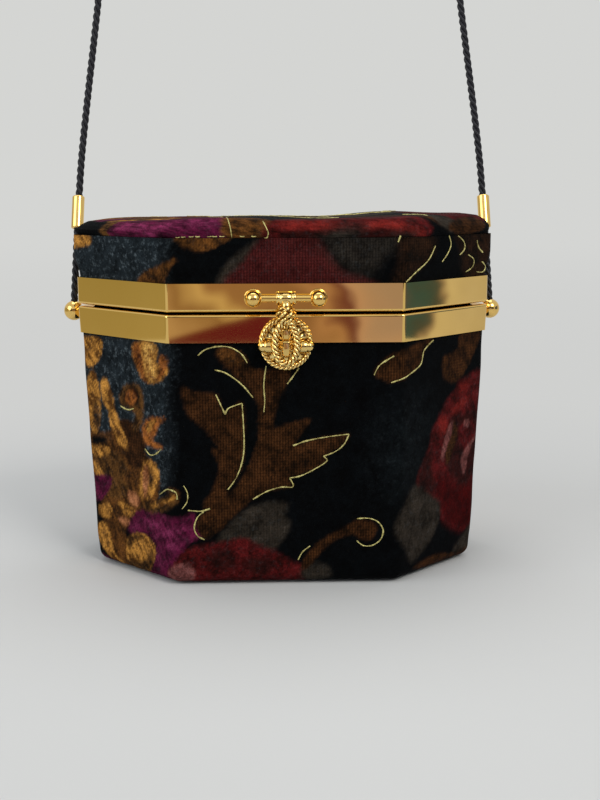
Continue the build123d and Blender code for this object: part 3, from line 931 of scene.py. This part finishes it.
def withBack(shapes):
    return shapes + [(kind, [(u + halfRound, v) for u, v in points]) for kind, points in shapes]


def withBackLines(lines):
    return lines + [[(u + halfRound, v) for u, v in line] for line in lines]


def evenRows(low, high):
    count = math.ceil((high - low) / thread)
    return [low + (high - low) * k / count for k in range(count + 1)]


caseMesh = clothMesh("caseVelvet", evenRows(hem["inner"], case["top"]), withBack(casePrintAndLight), casePoint)
caseVelvet = addObject("caseVelvet", caseMesh, "case")
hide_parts("case_cover")
caseStitching = threadMesh("caseThread", withBackLines(caseThreads), casePoint, stitch["caseRadius"])
caseThread = addObject("caseThread", caseStitching, "case")
print("case cloth:", len(caseMesh.polygons), "faces")

# print and painted sheen on the lid's band
bandPicks = {
    # painted sheen of the pile at the left of the band
    "bandSheen": ("slateSheen", "whole", [(0, 110), (340, 110), (350, 200), (330, 310), (0, 310)]),
    "bandGold": ("gold", "whole", [(0, 116), (90, 116), (122, 130), (108, 158), (0, 168)]),
    "bandSprig": ("bronze", "whole", [
        (268, 290), (300, 248), (346, 230), (402, 206), (378, 246), (346, 305),
    ]),
    "bandLeaf": ("bronze", "whole", [
        (384, 116), (470, 116), (600, 116), (560, 152), (500, 178), (436, 166),
    ]),
    "bandGrey": ("taupe", "whole", [
        (535, 310), (580, 222), (640, 172), (694, 138), (652, 205), (598, 310),
    ]),
    "bandRose": ("crimson", "whole", [
        (590, 312), (640, 212), (694, 142), (760, 112), (880, 112), (932, 172), (980, 242), (1060, 272),
        (1080, 312),
    ]),
    "bandPetal": ("smoke", "whole", [
        (888, 112), (1000, 112), (1140, 112), (1182, 150), (1112, 202), (1080, 262), (1000, 244),
        (936, 180),
    ]),
    "bandBrown": ("umber", "whole", [
        (1186, 112), (1262, 112), (1300, 156), (1270, 214), (1234, 252), (1204, 300), (1150, 310),
        (1180, 220),
    ]),
    "bandCorner": ("umber", "whole", [
        (1366, 106), (1440, 106), (1540, 110), (1540, 300), (1440, 290), (1396, 230), (1378, 170),
    ]),
}
bandStitches = {
    "whole": [
        [(1295, 160), (1272, 212), (1238, 250), (1205, 286)],
        [(1340, 124), (1346, 160), (1320, 215)],
        [(1186, 124), (1178, 146)],
        [(1372, 124), (1392, 145), (1394, 170), (1378, 190)],
        [(1438, 140), (1444, 165), (1458, 182)],
        [(1408, 190), (1430, 206), (1432, 232), (1412, 250)],
        [(1462, 214), (1478, 232), (1472, 250), (1450, 250)],
    ],
}
bandPrintAndSheen = sightPicks(bandPicks, True)
bandThreads = sightLines(bandStitches, True)
bandRows = evenRows(case["lidLow"], case["lidTop"])
bandMesh = clothMesh("lidBandVelvet", bandRows, withBack(bandPrintAndSheen), bandPoint)
lidBandVelvet = addObject("lidBandVelvet", bandMesh, "lid")
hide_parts("lid_band_cover")
bandStitching = threadMesh("lidBandThread", withBackLines(bandThreads), bandPoint, stitch["caseRadius"])
bandThread = addObject("lidBandThread", bandStitching, "lid")
print("lid band:", len(bandMesh.polygons), "faces")

# padded top, placed by plan points that run on past the edge as if unrolled
crown = {
    "low": 130.1, "top": 137.7, "dome": 0.9, "power": 26, "spokes": 320, "squash": 0.62,
    "sag": 0.8, "sagBack": 1.2, "backFrom": -46, "backOver": 30, "sagEnd": 10, "sagFade": 40,
    "ripple": 0.6, "across": 0.045, "deep": 0.02, "seed": 0.7, "soft": 6, "swellFrom": 0.6, "swellOver": 0.4,
    "flatStep": 0.02, "flatRings": 45, "rollStep": 0.012, "rollRings": 20, "cloth": (190, 120),
}
# rolled edge: share of the way out, share where it then lies, height
crownSteps = [
    (0.90, 0.90, 7.6), (0.95, 0.949, 7.1), (1.0, 0.987, 5.5), (1.05, 1.010, 3.3), (1.10, 1.009, 1.5),
    (1.14, 0.998, 0.0),
]
crownNormals = []
crownCorners = eightCorners(1, case["cover"])
for a, b in zip(crownCorners, crownCorners[1:] + crownCorners[:1]):
    away = Vector(((b - a).y, -(b - a).x)).normalized()
    crownNormals.append(away / away.dot(a))


def crownGauge(p):
    parts = [max(0.0, away.dot(p)) for away in crownNormals]
    most, power = max(parts), crown["power"]
    return 0.0 if most == 0 else most * sum((q / most) ** power for q in parts) ** (1 / power)


def crownPoint(x, y, lift=0.0):
    p = Vector((x, y))
    gauge = crownGauge(p)
    ripple = crown["ripple"] * noise.noise(Vector((x * crown["across"], y * crown["deep"], crown["seed"])))
    # the cushion is flattest at the left and behind
    sag = crown["sag"] + crown["sagBack"] * step01((y - crown["backFrom"]) / crown["backOver"])
    ripple -= sag * (1 - step01((x - crown["sagEnd"]) / crown["sagFade"]))
    if gauge <= crownSteps[0][0]:
        share = 1.0
        rise = crown["top"] - crown["low"] + crown["dome"] * (1 - (gauge / crownSteps[0][0]) ** 2)
    else:
        for (g0, s0, z0), (g1, s1, z1) in zip(crownSteps, crownSteps[1:]):
            if gauge <= g1:
                break
        t = min(1.0, (gauge - g0) / (g1 - g0))
        share, rise = (s0 + (s1 - s0) * t) / gauge, z0 + (z1 - z0) * t
    p *= share
    p += p.normalized() * (lidBulge(p.y) * step01((gauge - crown["swellFrom"]) / crown["swellOver"]) + lift)
    return Vector((p.x, p.y, crown["low"] + rise + ripple * step01(rise / crown["soft"]))) * mm


# the cloth of the case again on the top, each spray turned and moved
def moved(points, middle, turn, to):
    spin = Vector((math.cos(turn), math.sin(turn)))
    out = []
    for u, v in points:
        du, dv = u - middle[0], v - middle[1]
        out.append((to[0] + spin.x * du - spin.y * dv, to[1] + spin.y * du + spin.x * dv))
    return out


sprays = [
    {"from": (-97, -52), "middle": (-70, 42), "turn": 0.25, "to": (-48, 6)},
    {"from": (42, 103), "middle": (78, 45), "turn": -0.5, "to": (62, 8)},
    {"from": (-40, 36), "middle": (-4, 50), "turn": -1.45, "to": (10, 6)},
]
crownPrintAndHighlights, crownThreads = [], []
for spray in sprays:
    low, high = spray["from"]
    for kind, points in casePrintAndLight:
        if low <= sum(u for u, v in points) / len(points) <= high and kind not in ("slateSheen", "duskSheen"):
            crownPrintAndHighlights.append((kind, moved(points, spray["middle"], spray["turn"], spray["to"])))
    for line in caseThreads:
        if low <= line[0][0] <= high:
            crownThreads.append(moved(line, spray["middle"], spray["turn"], spray["to"]))
# front edge as the photo shows it
dash = {"seam": -54.0, "dip": -54.15, "middle": 0.9, "end": 1.9}
sprayFront = -36
crownPrintAndHighlights += [
    ("ground", [(-84, -60), (84, -60), (84, -34), (50, -37), (0, -36), (-50, -37), (-84, -34)]),
    ("goldDark", [(-62, -20), (-57, -24), (-63, -30), (-74, -38), (-82, -32), (-69, -24)]),
    ("purple", [
        (-58, -62), (-22, -60), (-20, -46), (-24, -38), (-40, -36), (-55, -25), (-61, -26), (-75, -34),
        (-68, -48),
    ]),
    ("purpleLight", [(-64, -31), (-60, -28.5), (-53, -35), (-50, -41), (-54, -43), (-60, -38)]),
    ("purpleLight", [
        (-56, -50), (-44, -48.6), (-30, -49.4), (-24, -48), (-26, -45), (-40, -44), (-54, -45),
    ]),
    ("purpleLight", [(-50, -56), (-40, -54.5), (-30, -55.5), (-38, -57.5)]),
    ("bronze", [(-24, -60), (-8, -60), (-5, -48), (-10, -40), (-20, -40), (-23, -48)]),
    ("ground", [(-8, -60), (-2, -60), (-2.5, -53), (-6, -52.4)]),
    ("rose", [(-5, -60), (58, -60), (60, -46), (50, -38), (30, -36), (10, -37), (-4, -44)]),
    # painted highlights along the top of the rolled front edge
    ("roseHighlight", [(-3, -50.6), (8, -51.4), (19, -50), (17, -46), (6, -45), (-3, -46)]),
    ("roseHighlight", [(29, -50.4), (40, -51), (57, -50), (56, -45), (42, -46.6), (32, -46)]),
    ("roseDark", [(-2, -60), (10, -60), (14, -52), (4, -50.4), (-2, -52)]),
    ("smoke", [(13, -60), (31, -60), (29, -49.8), (20, -48.8), (14, -51)]),
    ("roseDark", [(30, -60), (45, -60), (43, -51.6), (33, -50.4)]),
    ("smoke", [(43, -62), (56, -56), (51, -49), (44, -51)]),
    ("brown", [(62, -34), (74, -30), (82, -18), (76, -14), (66, -22)]),
]
crownThreads = [line for line in crownThreads if min(y for x, y in line) > sprayFront] + [
    [(-22.5, -57), (-20, -50), (-21, -42)],
    [(-9, -58), (-6.5, -52), (-8, -46)],
]
for x in (-44, -41.6, -38.2, -35.7, -31, -28.9, -26, -18, -13.4):
    middle, end = x + dash["middle"], x + dash["end"]
    crownThreads.append([(x, dash["seam"]), (middle, dash["dip"]), (end, dash["seam"])])
crownFlat = [crown["flatStep"] * k for k in range(1, crown["flatRings"] + 1)]
crownRings = crownFlat + [crownSteps[0][0] + crown["rollStep"] * k for k in range(1, crown["rollRings"] + 1)]
crownSpots = [(0.0, 0.0)]
for ring in crownRings:
    for k in range(crown["spokes"]):
        angle = 2 * math.pi * k / crown["spokes"]
        way = Vector((math.cos(angle), crown["squash"] * math.sin(angle)))
        crownSpots.append(tuple(way * ring / crownGauge(way)))
bm = bmesh.new()
uvLayer = bm.loops.layers.uv.new("UVMap")
verts = [bm.verts.new(crownPoint(x, y)) for x, y in crownSpots]
spokes = crown["spokes"]
crownFaces = [(0, 1 + k, 1 + (k + 1) % spokes) for k in range(spokes)]
for ring in range(len(crownRings) - 1):
    first = 1 + ring * spokes
    for k in range(spokes):
        after = (k + 1) % spokes
        crownFaces.append((first + k, first + spokes + k, first + spokes + after, first + after))
for corners in crownFaces:
    face = bm.faces.new([verts[c] for c in corners])
    for loop, c in zip(face.loops, corners):
        loop[uvLayer].uv = [0.5 + place / size for place, size in zip(crownSpots[c], crown["cloth"])]
bmesh.ops.holes_fill(bm, edges=[e for e in bm.edges if e.is_boundary], sides=0)
bmesh.ops.recalc_face_normals(bm, faces=bm.faces)
crownMesh = meshFrom(bm, "lidCrown")
swatchMesh(crownMesh, crownSpots, crownPrintAndHighlights)
lidCrown = addObject("lidCrown", crownMesh, "lid")
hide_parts("lid_top_cover", "lid_pad")
crownStitching = threadMesh("lidCrownThread", crownThreads, crownPoint, stitch["crownRadius"])
addObject("lidCrownThread", crownStitching, "lid")
print("crown:", len(crownMesh.polygons), "faces")


# linings and the underside panel
def shellMesh(name, levels):
    bm = bmesh.new()
    loops = []
    for z, rise, inset, corner in levels:
        ring = [Vector((*outlinePoint(u, rise, inset, corner), z)) * mm for u in shellColumns]
        loops.append([bm.verts.new(place) for place in ring])
    for a, b in zip(loops, loops[1:]):
        for k in range(len(a)):
            bm.faces.new((a[k], a[k - 1], b[k - 1], b[k]))
    bm.faces.new(loops[-1])
    bmesh.ops.recalc_face_normals(bm, faces=bm.faces)
    return meshFrom(bm, name)


bendShares = [k / 4 for k in range(5)]
bends = [(at, long) for k, bent, at, long in runs if bent]
shellColumns = {round((at + long * share) % roundTheWall, 4) for at, long in bends for share in bendShares}
shellColumns = sorted(shellColumns)
lining = {
    "inset": 4.4, "corner": 1.0, "floor": 5.35, "floorRise": 0.06, "floorInset": 6.0, "rim": 101.5,
    "drop": 18.8, "drops": 6, "lidLow": 104.4, "lidTurn": 126.1, "roof": 127.5, "roofInset": 5.8,
}
caseHeights = [lining["rim"] - k * lining["drop"] for k in range(lining["drops"])]
liningLevels = [(z, z / case["seam"], lining["inset"], lining["corner"]) for z in caseHeights]
liningLevels.append((lining["floor"], lining["floorRise"], lining["floorInset"], lining["corner"]))
caseSatin = addObject("caseLining", shellMesh("caseLining", liningLevels), "case")
caseSatin.data.materials.append(satin)
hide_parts("case_lining")
lidLevels = [(z, 1, lining["inset"], lining["corner"]) for z in (lining["lidLow"], lining["lidTurn"])]
lidLevels.append((lining["roof"], 1, lining["roofInset"], lining["corner"]))
lidSatin = addObject("lidLining", shellMesh("lidLining", lidLevels), "lid")
lidSatin.data.materials.append(satin)
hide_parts("lid_lining")

# height, rise, inset and corner of each ring, down to the underside
baseLevels = [(1.1, 0, 7.2, 4.5), (0.35, 0, 7.2, 4.5), (0.1, 0, 7.3, 4.4), (0.0, 0, 7.6, 4.2)]
basePanel = addObject("baseVelvet", shellMesh("baseVelvet", baseLevels), "case")
basePanel.data.materials.append(underCloth)
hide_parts("base_cover")
print("linings and base made")


# catch and latch, cast in gilt metal; painted shade is dark where strands meet and in the grooves, and
# painted highlight bright on the ridges
cast = {"barShade": 0.8, "blockShade": 0.72, "barSteps": 28, "blockSegments": 4, "merge": 1e-7}
across, upright, backward = Vector((1, 0, 0)), Vector((0, 0, 1)), Vector((0, 1, 0))


def mirrored(half):
    return [(-x, r) for x, r in reversed(half)] + half


# profile holds (distance along the axis, radius)
def turnedBar(bm, profile, origin, along, castShade, steps=cast["barSteps"]):
    before = set(bm.verts)
    side = along.orthogonal().normalized()
    chain = [bm.verts.new(origin + along * (x * mm) + side * (r * mm)) for x, r in profile]
    lines = [bm.edges.new(pair) for pair in zip(chain, chain[1:])]
    bmesh.ops.spin(
        bm, geom=chain + lines, cent=origin, axis=along, angle=2 * math.pi, steps=steps, use_merge=True
    )
    bmesh.ops.remove_doubles(bm, verts=[v for v in bm.verts if v not in before], dist=cast["merge"])
    bmesh.ops.recalc_face_normals(bm, faces=bm.faces)
    for v in bm.verts:
        if v not in before:
            v[castShade] = cast["barShade"]


def bevelBlock(bm, middle, size, edge, castShade):
    made = bmesh.ops.create_cube(bm, size=1.0)["verts"]
    bmesh.ops.scale(bm, vec=Vector(size) * mm, verts=made)
    bmesh.ops.translate(bm, vec=middle, verts=made)
    rims = list({e for v in made for e in v.link_edges})
    rounded = bmesh.ops.bevel(
        bm, geom=rims, offset=edge * mm, offset_type="OFFSET", segments=cast["blockSegments"], profile=0.5,
        affect="EDGES", material=-1,
    )
    for v in {v for f in rounded["faces"] for v in f.verts}:
        v[castShade] = cast["blockShade"]


def roundPath(centre, radius, count, up=upright):
    turns = [2 * math.pi * k / count for k in range(count)]
    return [centre + radius * (math.cos(turn) * across + math.sin(turn) * up) for turn in turns]


catch = {
    "middle": Vector((0, -0.049, 0.0920)), "radius": 8.9, "rim": 1.3, "plate": 1.0, "relief": 1.0,
    "flutes": 16, "spokesEach": 10, "rings": 10, "eye": 0.12, "fluteRound": 0.7, "fluteShade": 1.6,
    "fluteStart": 0.2, "rimSteps": 150,
    "rimRope": {"strands": 3, "radius": 0.60 * mm, "offset": 0.50 * mm, "lay": 0.0046, "sides": 7},
    "barrel": Vector((0, -0.0509, 0.0909)),
    "barrelHalf": [
        (3.4, 2.3), (3.7, 1.9), (4.0, 2.45), (7.3, 2.45), (7.7, 2.2), (8.0, 1.8), (8.3, 2.2), (8.9, 2.1),
        (9.6, 1.7), (10.2, 1.0), (10.4, 0.0),
    ],
    # raised tongue inside the loop, as two blocks: place, size and rounding
    "tongue": [
        (Vector((0, -0.0021, -0.0017)), (4.0, 5.0, 6.6), 1.2),
        (Vector((0, -0.0017, 0.0034)), (3.2, 3.0, 4.4), 0.9),
    ],
}
bm = bmesh.new()
castShade = bm.verts.layers.float.new("castShade")
spokes = catch["flutes"] * catch["spokesEach"]
lastRing = None
for i in range(catch["rings"] + 1):
    share = i / catch["rings"]
    reach = catch["radius"] * (catch["eye"] + (1 - catch["eye"]) * share)
    ring = []
    for k in range(spokes):
        angle = 2 * math.pi * k / spokes
        lobe = abs(math.cos(catch["flutes"] * angle / 2)) ** catch["fluteRound"]
        swelling = math.sin(math.pi * min(1, catch["fluteStart"] + share)) ** 0.5
        stand = catch["plate"] + catch["relief"] * lobe * swelling
        spot = Vector((math.cos(angle) * reach, -stand, math.sin(angle) * reach))
        ring.append(bm.verts.new(catch["middle"] + spot * mm))
        # painted shade: dark in the grooves between the flutes, light on their crests
        ring[-1][castShade] = lobe ** catch["fluteShade"]
    if lastRing:
        for k in range(spokes):
            bm.faces.new((lastRing[k - 1], lastRing[k], ring[k], ring[k - 1]))
    else:
        bm.faces.new(ring)
    lastRing = ring
backRing = [bm.verts.new(Vector((v.co.x, catch["middle"].y, v.co.z))) for v in lastRing]
for k in range(spokes):
    bm.faces.new((lastRing[k - 1], lastRing[k], backRing[k], backRing[k - 1]))
bmesh.ops.recalc_face_normals(bm, faces=bm.faces)
rimMiddle = catch["middle"] - backward * (catch["rim"] * mm)
rimPath = roundPath(rimMiddle, catch["radius"] * mm, catch["rimSteps"])
twistRope(bm, rimPath, True, catch["rimRope"], backward, castShade)
turnedBar(bm, mirrored(catch["barrelHalf"]), catch["barrel"], across, castShade)
for place, size, rounding in catch["tongue"]:
    bevelBlock(bm, catch["middle"] + place, size, rounding, castShade)
rosette = addObject("catchRosette", meshFrom(bm, "catchRosette"), "case")
rosette.data.materials.append(giltCast)
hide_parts("catch_rosette")

latch = {
    "pin": Vector((0, -0.052, 0.1085)),
    "knot": Vector((0, -0.054, 0.1025)),
    "loop": Vector((0, -0.055, 0.0929)),
    "knuckleHalf": [(2.2, 2.3), (2.4, 2.0), (2.6, 2.3), (3.4, 2.3), (3.6, 2.1), (3.6, 1.36)],
    "neck": Vector((0, -0.0533, 0.1077)),
    "neckProfile": [(0, 0.0), (0.0, 1.6), (2.0, 1.7), (5.0, 2.0), (6.0, 0.0)],
    "neckSteps": 20,
    # rings of the knot: height, reach and thickness
    "knotRings": ((2.3, 1.8, 0.9), (0.5, 2.5, 1.25), (-1.5, 2.4, 1.1)),
    "knotRope": {"strands": 2, "radius": 0.62 * mm, "offset": 0.45 * mm, "lay": 0.0044, "sides": 7},
    "knotSteps": 56,
    "knotFlat": 0.72,
    "loopWide": 4.0,
    "loopTall": 7.6,
    "loopTaper": 0.12,
    "loopSteps": 190,
    "loopRope": {"strands": 3, "radius": 0.74 * mm, "offset": 0.62 * mm, "lay": 0.0056, "sides": 8},
}
bm = bmesh.new()
castShade = bm.verts.layers.float.new("castShade")
turnedBar(bm, mirrored(latch["knuckleHalf"]), latch["pin"], across, castShade)
turnedBar(bm, latch["neckProfile"], latch["neck"], -upright, castShade, latch["neckSteps"])
for height, reach, thick in latch["knotRings"]:
    ringMiddle = latch["knot"] + upright * (height * mm)
    path = roundPath(ringMiddle, reach * mm, latch["knotSteps"], latch["knotFlat"] * backward)
    rope = dict(latch["knotRope"])
    rope["radius"] *= thick
    rope["offset"] *= thick
    twistRope(bm, path, True, rope, upright, castShade)
loopPath = []
for k in range(latch["loopSteps"]):
    angle = 2 * math.pi * k / latch["loopSteps"]
    wide = latch["loopWide"] * (1 - latch["loopTaper"] * math.sin(angle))
    spot = Vector((math.cos(angle) * wide, 0, math.sin(angle) * latch["loopTall"]))
    loopPath.append(latch["loop"] + spot * mm)
twistRope(bm, loopPath, True, latch["loopRope"], backward, castShade)
latchRope = addObject("latchRope", meshFrom(bm, "latchRope"), "latch")
latchRope.data.materials.append(giltCast)
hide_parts("latch_loop")
print("clasp made")

# studio: a floor that fades into the backdrop away from the purse
studio = {
    "backdrop": (0.66, 0.665, 0.65), "floorSize": 6, "floorDrop": -0.0005, "glow": (0.625, 0.63, 0.62),
    "floorTones": [(0.3, (0.61, 0.615, 0.605)), (0.7, (0.63, 0.635, 0.625))],
    "glowRange": (0.3, 3.0), "fadeRange": (0.12, 0.4), "daylight": (0.95, 0.97, 1.0), "strength": 0.45,
    "aim": Vector((0, 0, 0.08)),
}


def mixShaders(tree, *sources):
    node = tree.nodes.new("ShaderNodeMixShader")
    for source, socket in zip(sources, node.inputs):
        link(tree, source, socket)
    return node.outputs[0]


bm = bmesh.new()
bmesh.ops.create_grid(bm, x_segments=1, y_segments=1, size=studio["floorSize"])
floor = bpy.data.objects.new("floor", meshFrom(bm, "floor", False))
floor.location = (0, 0, studio["floorDrop"])
bpy.context.scene.collection.objects.link(floor)
floorPale = tonedMaterial(
    "floorPale", 3, 2, studio["floorTones"], {"Roughness": 0.95, "Specular IOR Level": 0.05}
)
tree = floorPale.node_tree
glow = tree.nodes.new("ShaderNodeEmission")
reach = tree.nodes.new("ShaderNodeVectorMath")
reach.operation = "LENGTH"
link(tree, tree.nodes.new("ShaderNodeTexCoord").outputs["Object"], reach.inputs[0])
far = rangeNode(tree, reach.outputs["Value"], *studio["glowRange"])
link(tree, rampNode(tree, far, [(0, studio["glow"]), (1, studio["backdrop"])]), glow.inputs["Color"])
fade = rangeNode(tree, reach.outputs["Value"], *studio["fadeRange"])
floorBlend = mixShaders(tree, fade, tree.nodes["Principled BSDF"].outputs[0], glow.outputs[0])
link(tree, floorBlend, tree.nodes["Material Output"].inputs["Surface"])
floor.data.materials.append(floorPale)

world = bpy.data.worlds.new("studio")
bpy.context.scene.world = world
world.use_nodes = True
tree = world.node_tree
tree.nodes.clear()
rays = tree.nodes.new("ShaderNodeLightPath").outputs
seen = mathNode(tree, "MAXIMUM", rays["Is Camera Ray"], rays["Is Glossy Ray"])
seen = mathNode(tree, "MAXIMUM", seen, rays["Is Transmission Ray"])
skies = []
for colour, strength in ((studio["daylight"], studio["strength"]), (studio["backdrop"], 1.0)):
    sky = tree.nodes.new("ShaderNodeBackground")
    sky.inputs["Color"].default_value = (*colour, 1)
    sky.inputs["Strength"].default_value = strength
    skies.append(sky.outputs[0])
link(tree, mixShaders(tree, seen, *skies), tree.nodes.new("ShaderNodeOutputWorld").inputs[0])

# cards that only the polished metal sees: the room in front of the purse
cards = {
    "frontCard": {
        "at": (0, -0.75, 0.03), "turn": 0, "wide": 0.5, "tall": 0.26,
        "swayScale": 14, "sway": 0.16, "slope": 0.8, "drift": (-0.14, 0.16),
        "wedgeSlope": 0.28, "wedgeEdge": (-0.006, 0.0), "wedgeEnd": (0.004, 0.0),
        "wedge": (0.13, 0.016, 0.035),
        "tones": [
            (0.0, (0.52, 0.40, 0.34)), (0.16, (0.30, 0.20, 0.14)), (0.30, (0.62, 0.52, 0.40)),
            (0.40, (0.34, 0.22, 0.17)), (0.58, (0.30, 0.19, 0.15)), (0.72, (0.46, 0.30, 0.26)),
            (0.80, (0.15, 0.05, 0.07)), (0.86, (0.56, 0.42, 0.52)), (1.0, (0.42, 0.36, 0.5)),
        ],
    },
    "roomCard": {
        "at": (0, -1.3, 0.45), "turn": 0, "wide": 2.6, "tall": 1.7,
        "swayScale": 3, "sway": 0.5, "drift": (-0.2, 0.75),
        "tones": [
            (0.0, (0.12, 0.09, 0.07)), (0.45, (0.05, 0.035, 0.03)), (0.6, (0.3, 0.27, 0.24)),
            (1.0, (0.8, 0.8, 0.8)),
        ],
    },
    "leftCard": {
        "at": (-0.75, 0.0, 0.05), "turn": 90, "wide": 0.9, "tall": 0.5,
        "swayScale": 6, "tones": [(0.3, (0.36, 0.335, 0.20)), (0.7, (0.42, 0.385, 0.25))],
    },
    "rightCard": {
        "at": (0.75, 0.0, 0.05), "turn": -90, "wide": 0.9, "tall": 0.5,
        "swayScale": 26, "sway": 0.09, "slope": -0.35, "drift": (0.02, 0.13),
        "tones": [
            (0.0, (0.10, 0.12, 0.20)), (0.16, (0.05, 0.12, 0.20)), (0.36, (0.07, 0.09, 0.12)),
            (0.46, (0.30, 0.26, 0.28)), (0.56, (0.66, 0.66, 0.66)), (1.0, (0.54, 0.54, 0.56)),
        ],
    },
}
unseenBy = ("camera", "diffuse", "transmission", "volume_scatter", "shadow")


def addCard(name):
    card = cards[name]
    bm = bmesh.new()
    bmesh.ops.create_grid(bm, x_segments=1, y_segments=1, size=0.5)
    bmesh.ops.scale(bm, vec=(card["wide"], card["tall"], 1), verts=bm.verts)
    sheet = bpy.data.objects.new(name, meshFrom(bm, name, False))
    sheet.location = card["at"]
    sheet.rotation_euler = (math.radians(90), 0, math.radians(card["turn"]))
    bpy.context.scene.collection.objects.link(sheet)
    for ray in unseenBy:
        setattr(sheet, "visible_" + ray, False)
    material = bpy.data.materials.new(name)
    material.use_nodes = True
    tree = material.node_tree
    tree.nodes.clear()
    emit = tree.nodes.new("ShaderNodeEmission")
    link(tree, emit.outputs[0], tree.nodes.new("ShaderNodeOutputMaterial").inputs["Surface"])
    place = tree.nodes.new("ShaderNodeTexCoord").outputs["Object"]
    sheet.data.materials.append(material)
    return card, tree, place, splitNode(tree, place), emit.inputs["Color"]


def sway(tree, place, card):
    drift = mathNode(tree, "SUBTRACT", noiseNode(tree, place, card["swayScale"], 2), 0.5)
    return times(tree, drift, card["sway"])


# front: x runs to the right and y up; the lower frame sees y under 0, the upper frame y over 0
card, tree, place, at, colour = addCard("frontCard")
drift = mathNode(tree, "ADD", at["X"], sway(tree, place, card))
drift = mathNode(tree, "ADD", drift, times(tree, at["Y"], card["slope"]))
tone = rampNode(tree, rangeNode(tree, drift, *card["drift"]), card["tones"])
wedge = mathNode(tree, "SUBTRACT", times(tree, at["X"], card["wedgeSlope"]), at["Y"])
wedge = rangeNode(tree, wedge, *card["wedgeEdge"])
wedge = times(tree, wedge, rangeNode(tree, at["X"], *card["wedgeEnd"]))
link(tree, mixColour(tree, wedge, tone, card["wedge"]), colour)

card, tree, place, at, colour = addCard("roomCard")
height = times(tree, noiseNode(tree, place, card["swayScale"], 2), card["sway"])
height = mathNode(tree, "ADD", at["Y"], height)
link(tree, rampNode(tree, rangeNode(tree, height, *card["drift"]), card["tones"]), colour)

card, tree, place, at, colour = addCard("leftCard")
link(tree, rampNode(tree, noiseNode(tree, place, card["swayScale"], 1), card["tones"]), colour)

card, tree, place, at, colour = addCard("rightCard")
drift = mathNode(tree, "SUBTRACT", sway(tree, place, card), at["X"])
drift = mathNode(tree, "ADD", drift, times(tree, at["Y"], card["slope"]))
link(tree, rampNode(tree, rangeNode(tree, drift, *card["drift"]), card["tones"]), colour)

lamps = {
    "key": {"at": (0.55, -0.75, 0.85), "size": 0.5, "power": 6.0, "colour": (1.0, 0.98, 0.95)},
    "fill": {"at": (-0.8, -0.5, 0.55), "size": 0.7, "power": 3.4, "colour": (0.94, 0.97, 1.0)},
    "top": {"at": (0.0, 0.25, 0.95), "size": 0.7, "power": 3.0, "colour": (1.0, 1.0, 1.0)},
}
for name, lamp in lamps.items():
    light = bpy.data.lights.new(name, "AREA")
    light.size = lamp["size"]
    light.energy = lamp["power"]
    light.color = lamp["colour"]
    lightObject = bpy.data.objects.new(name, light)
    lightObject.location = lamp["at"]
    lampWay = studio["aim"] - Vector(lamp["at"])
    lightObject.rotation_euler = lampWay.to_track_quat("-Z", "Y").to_euler()
    bpy.context.scene.collection.objects.link(lightObject)
print("studio set,", len(cards), "cards and", len(lamps), "lamps")
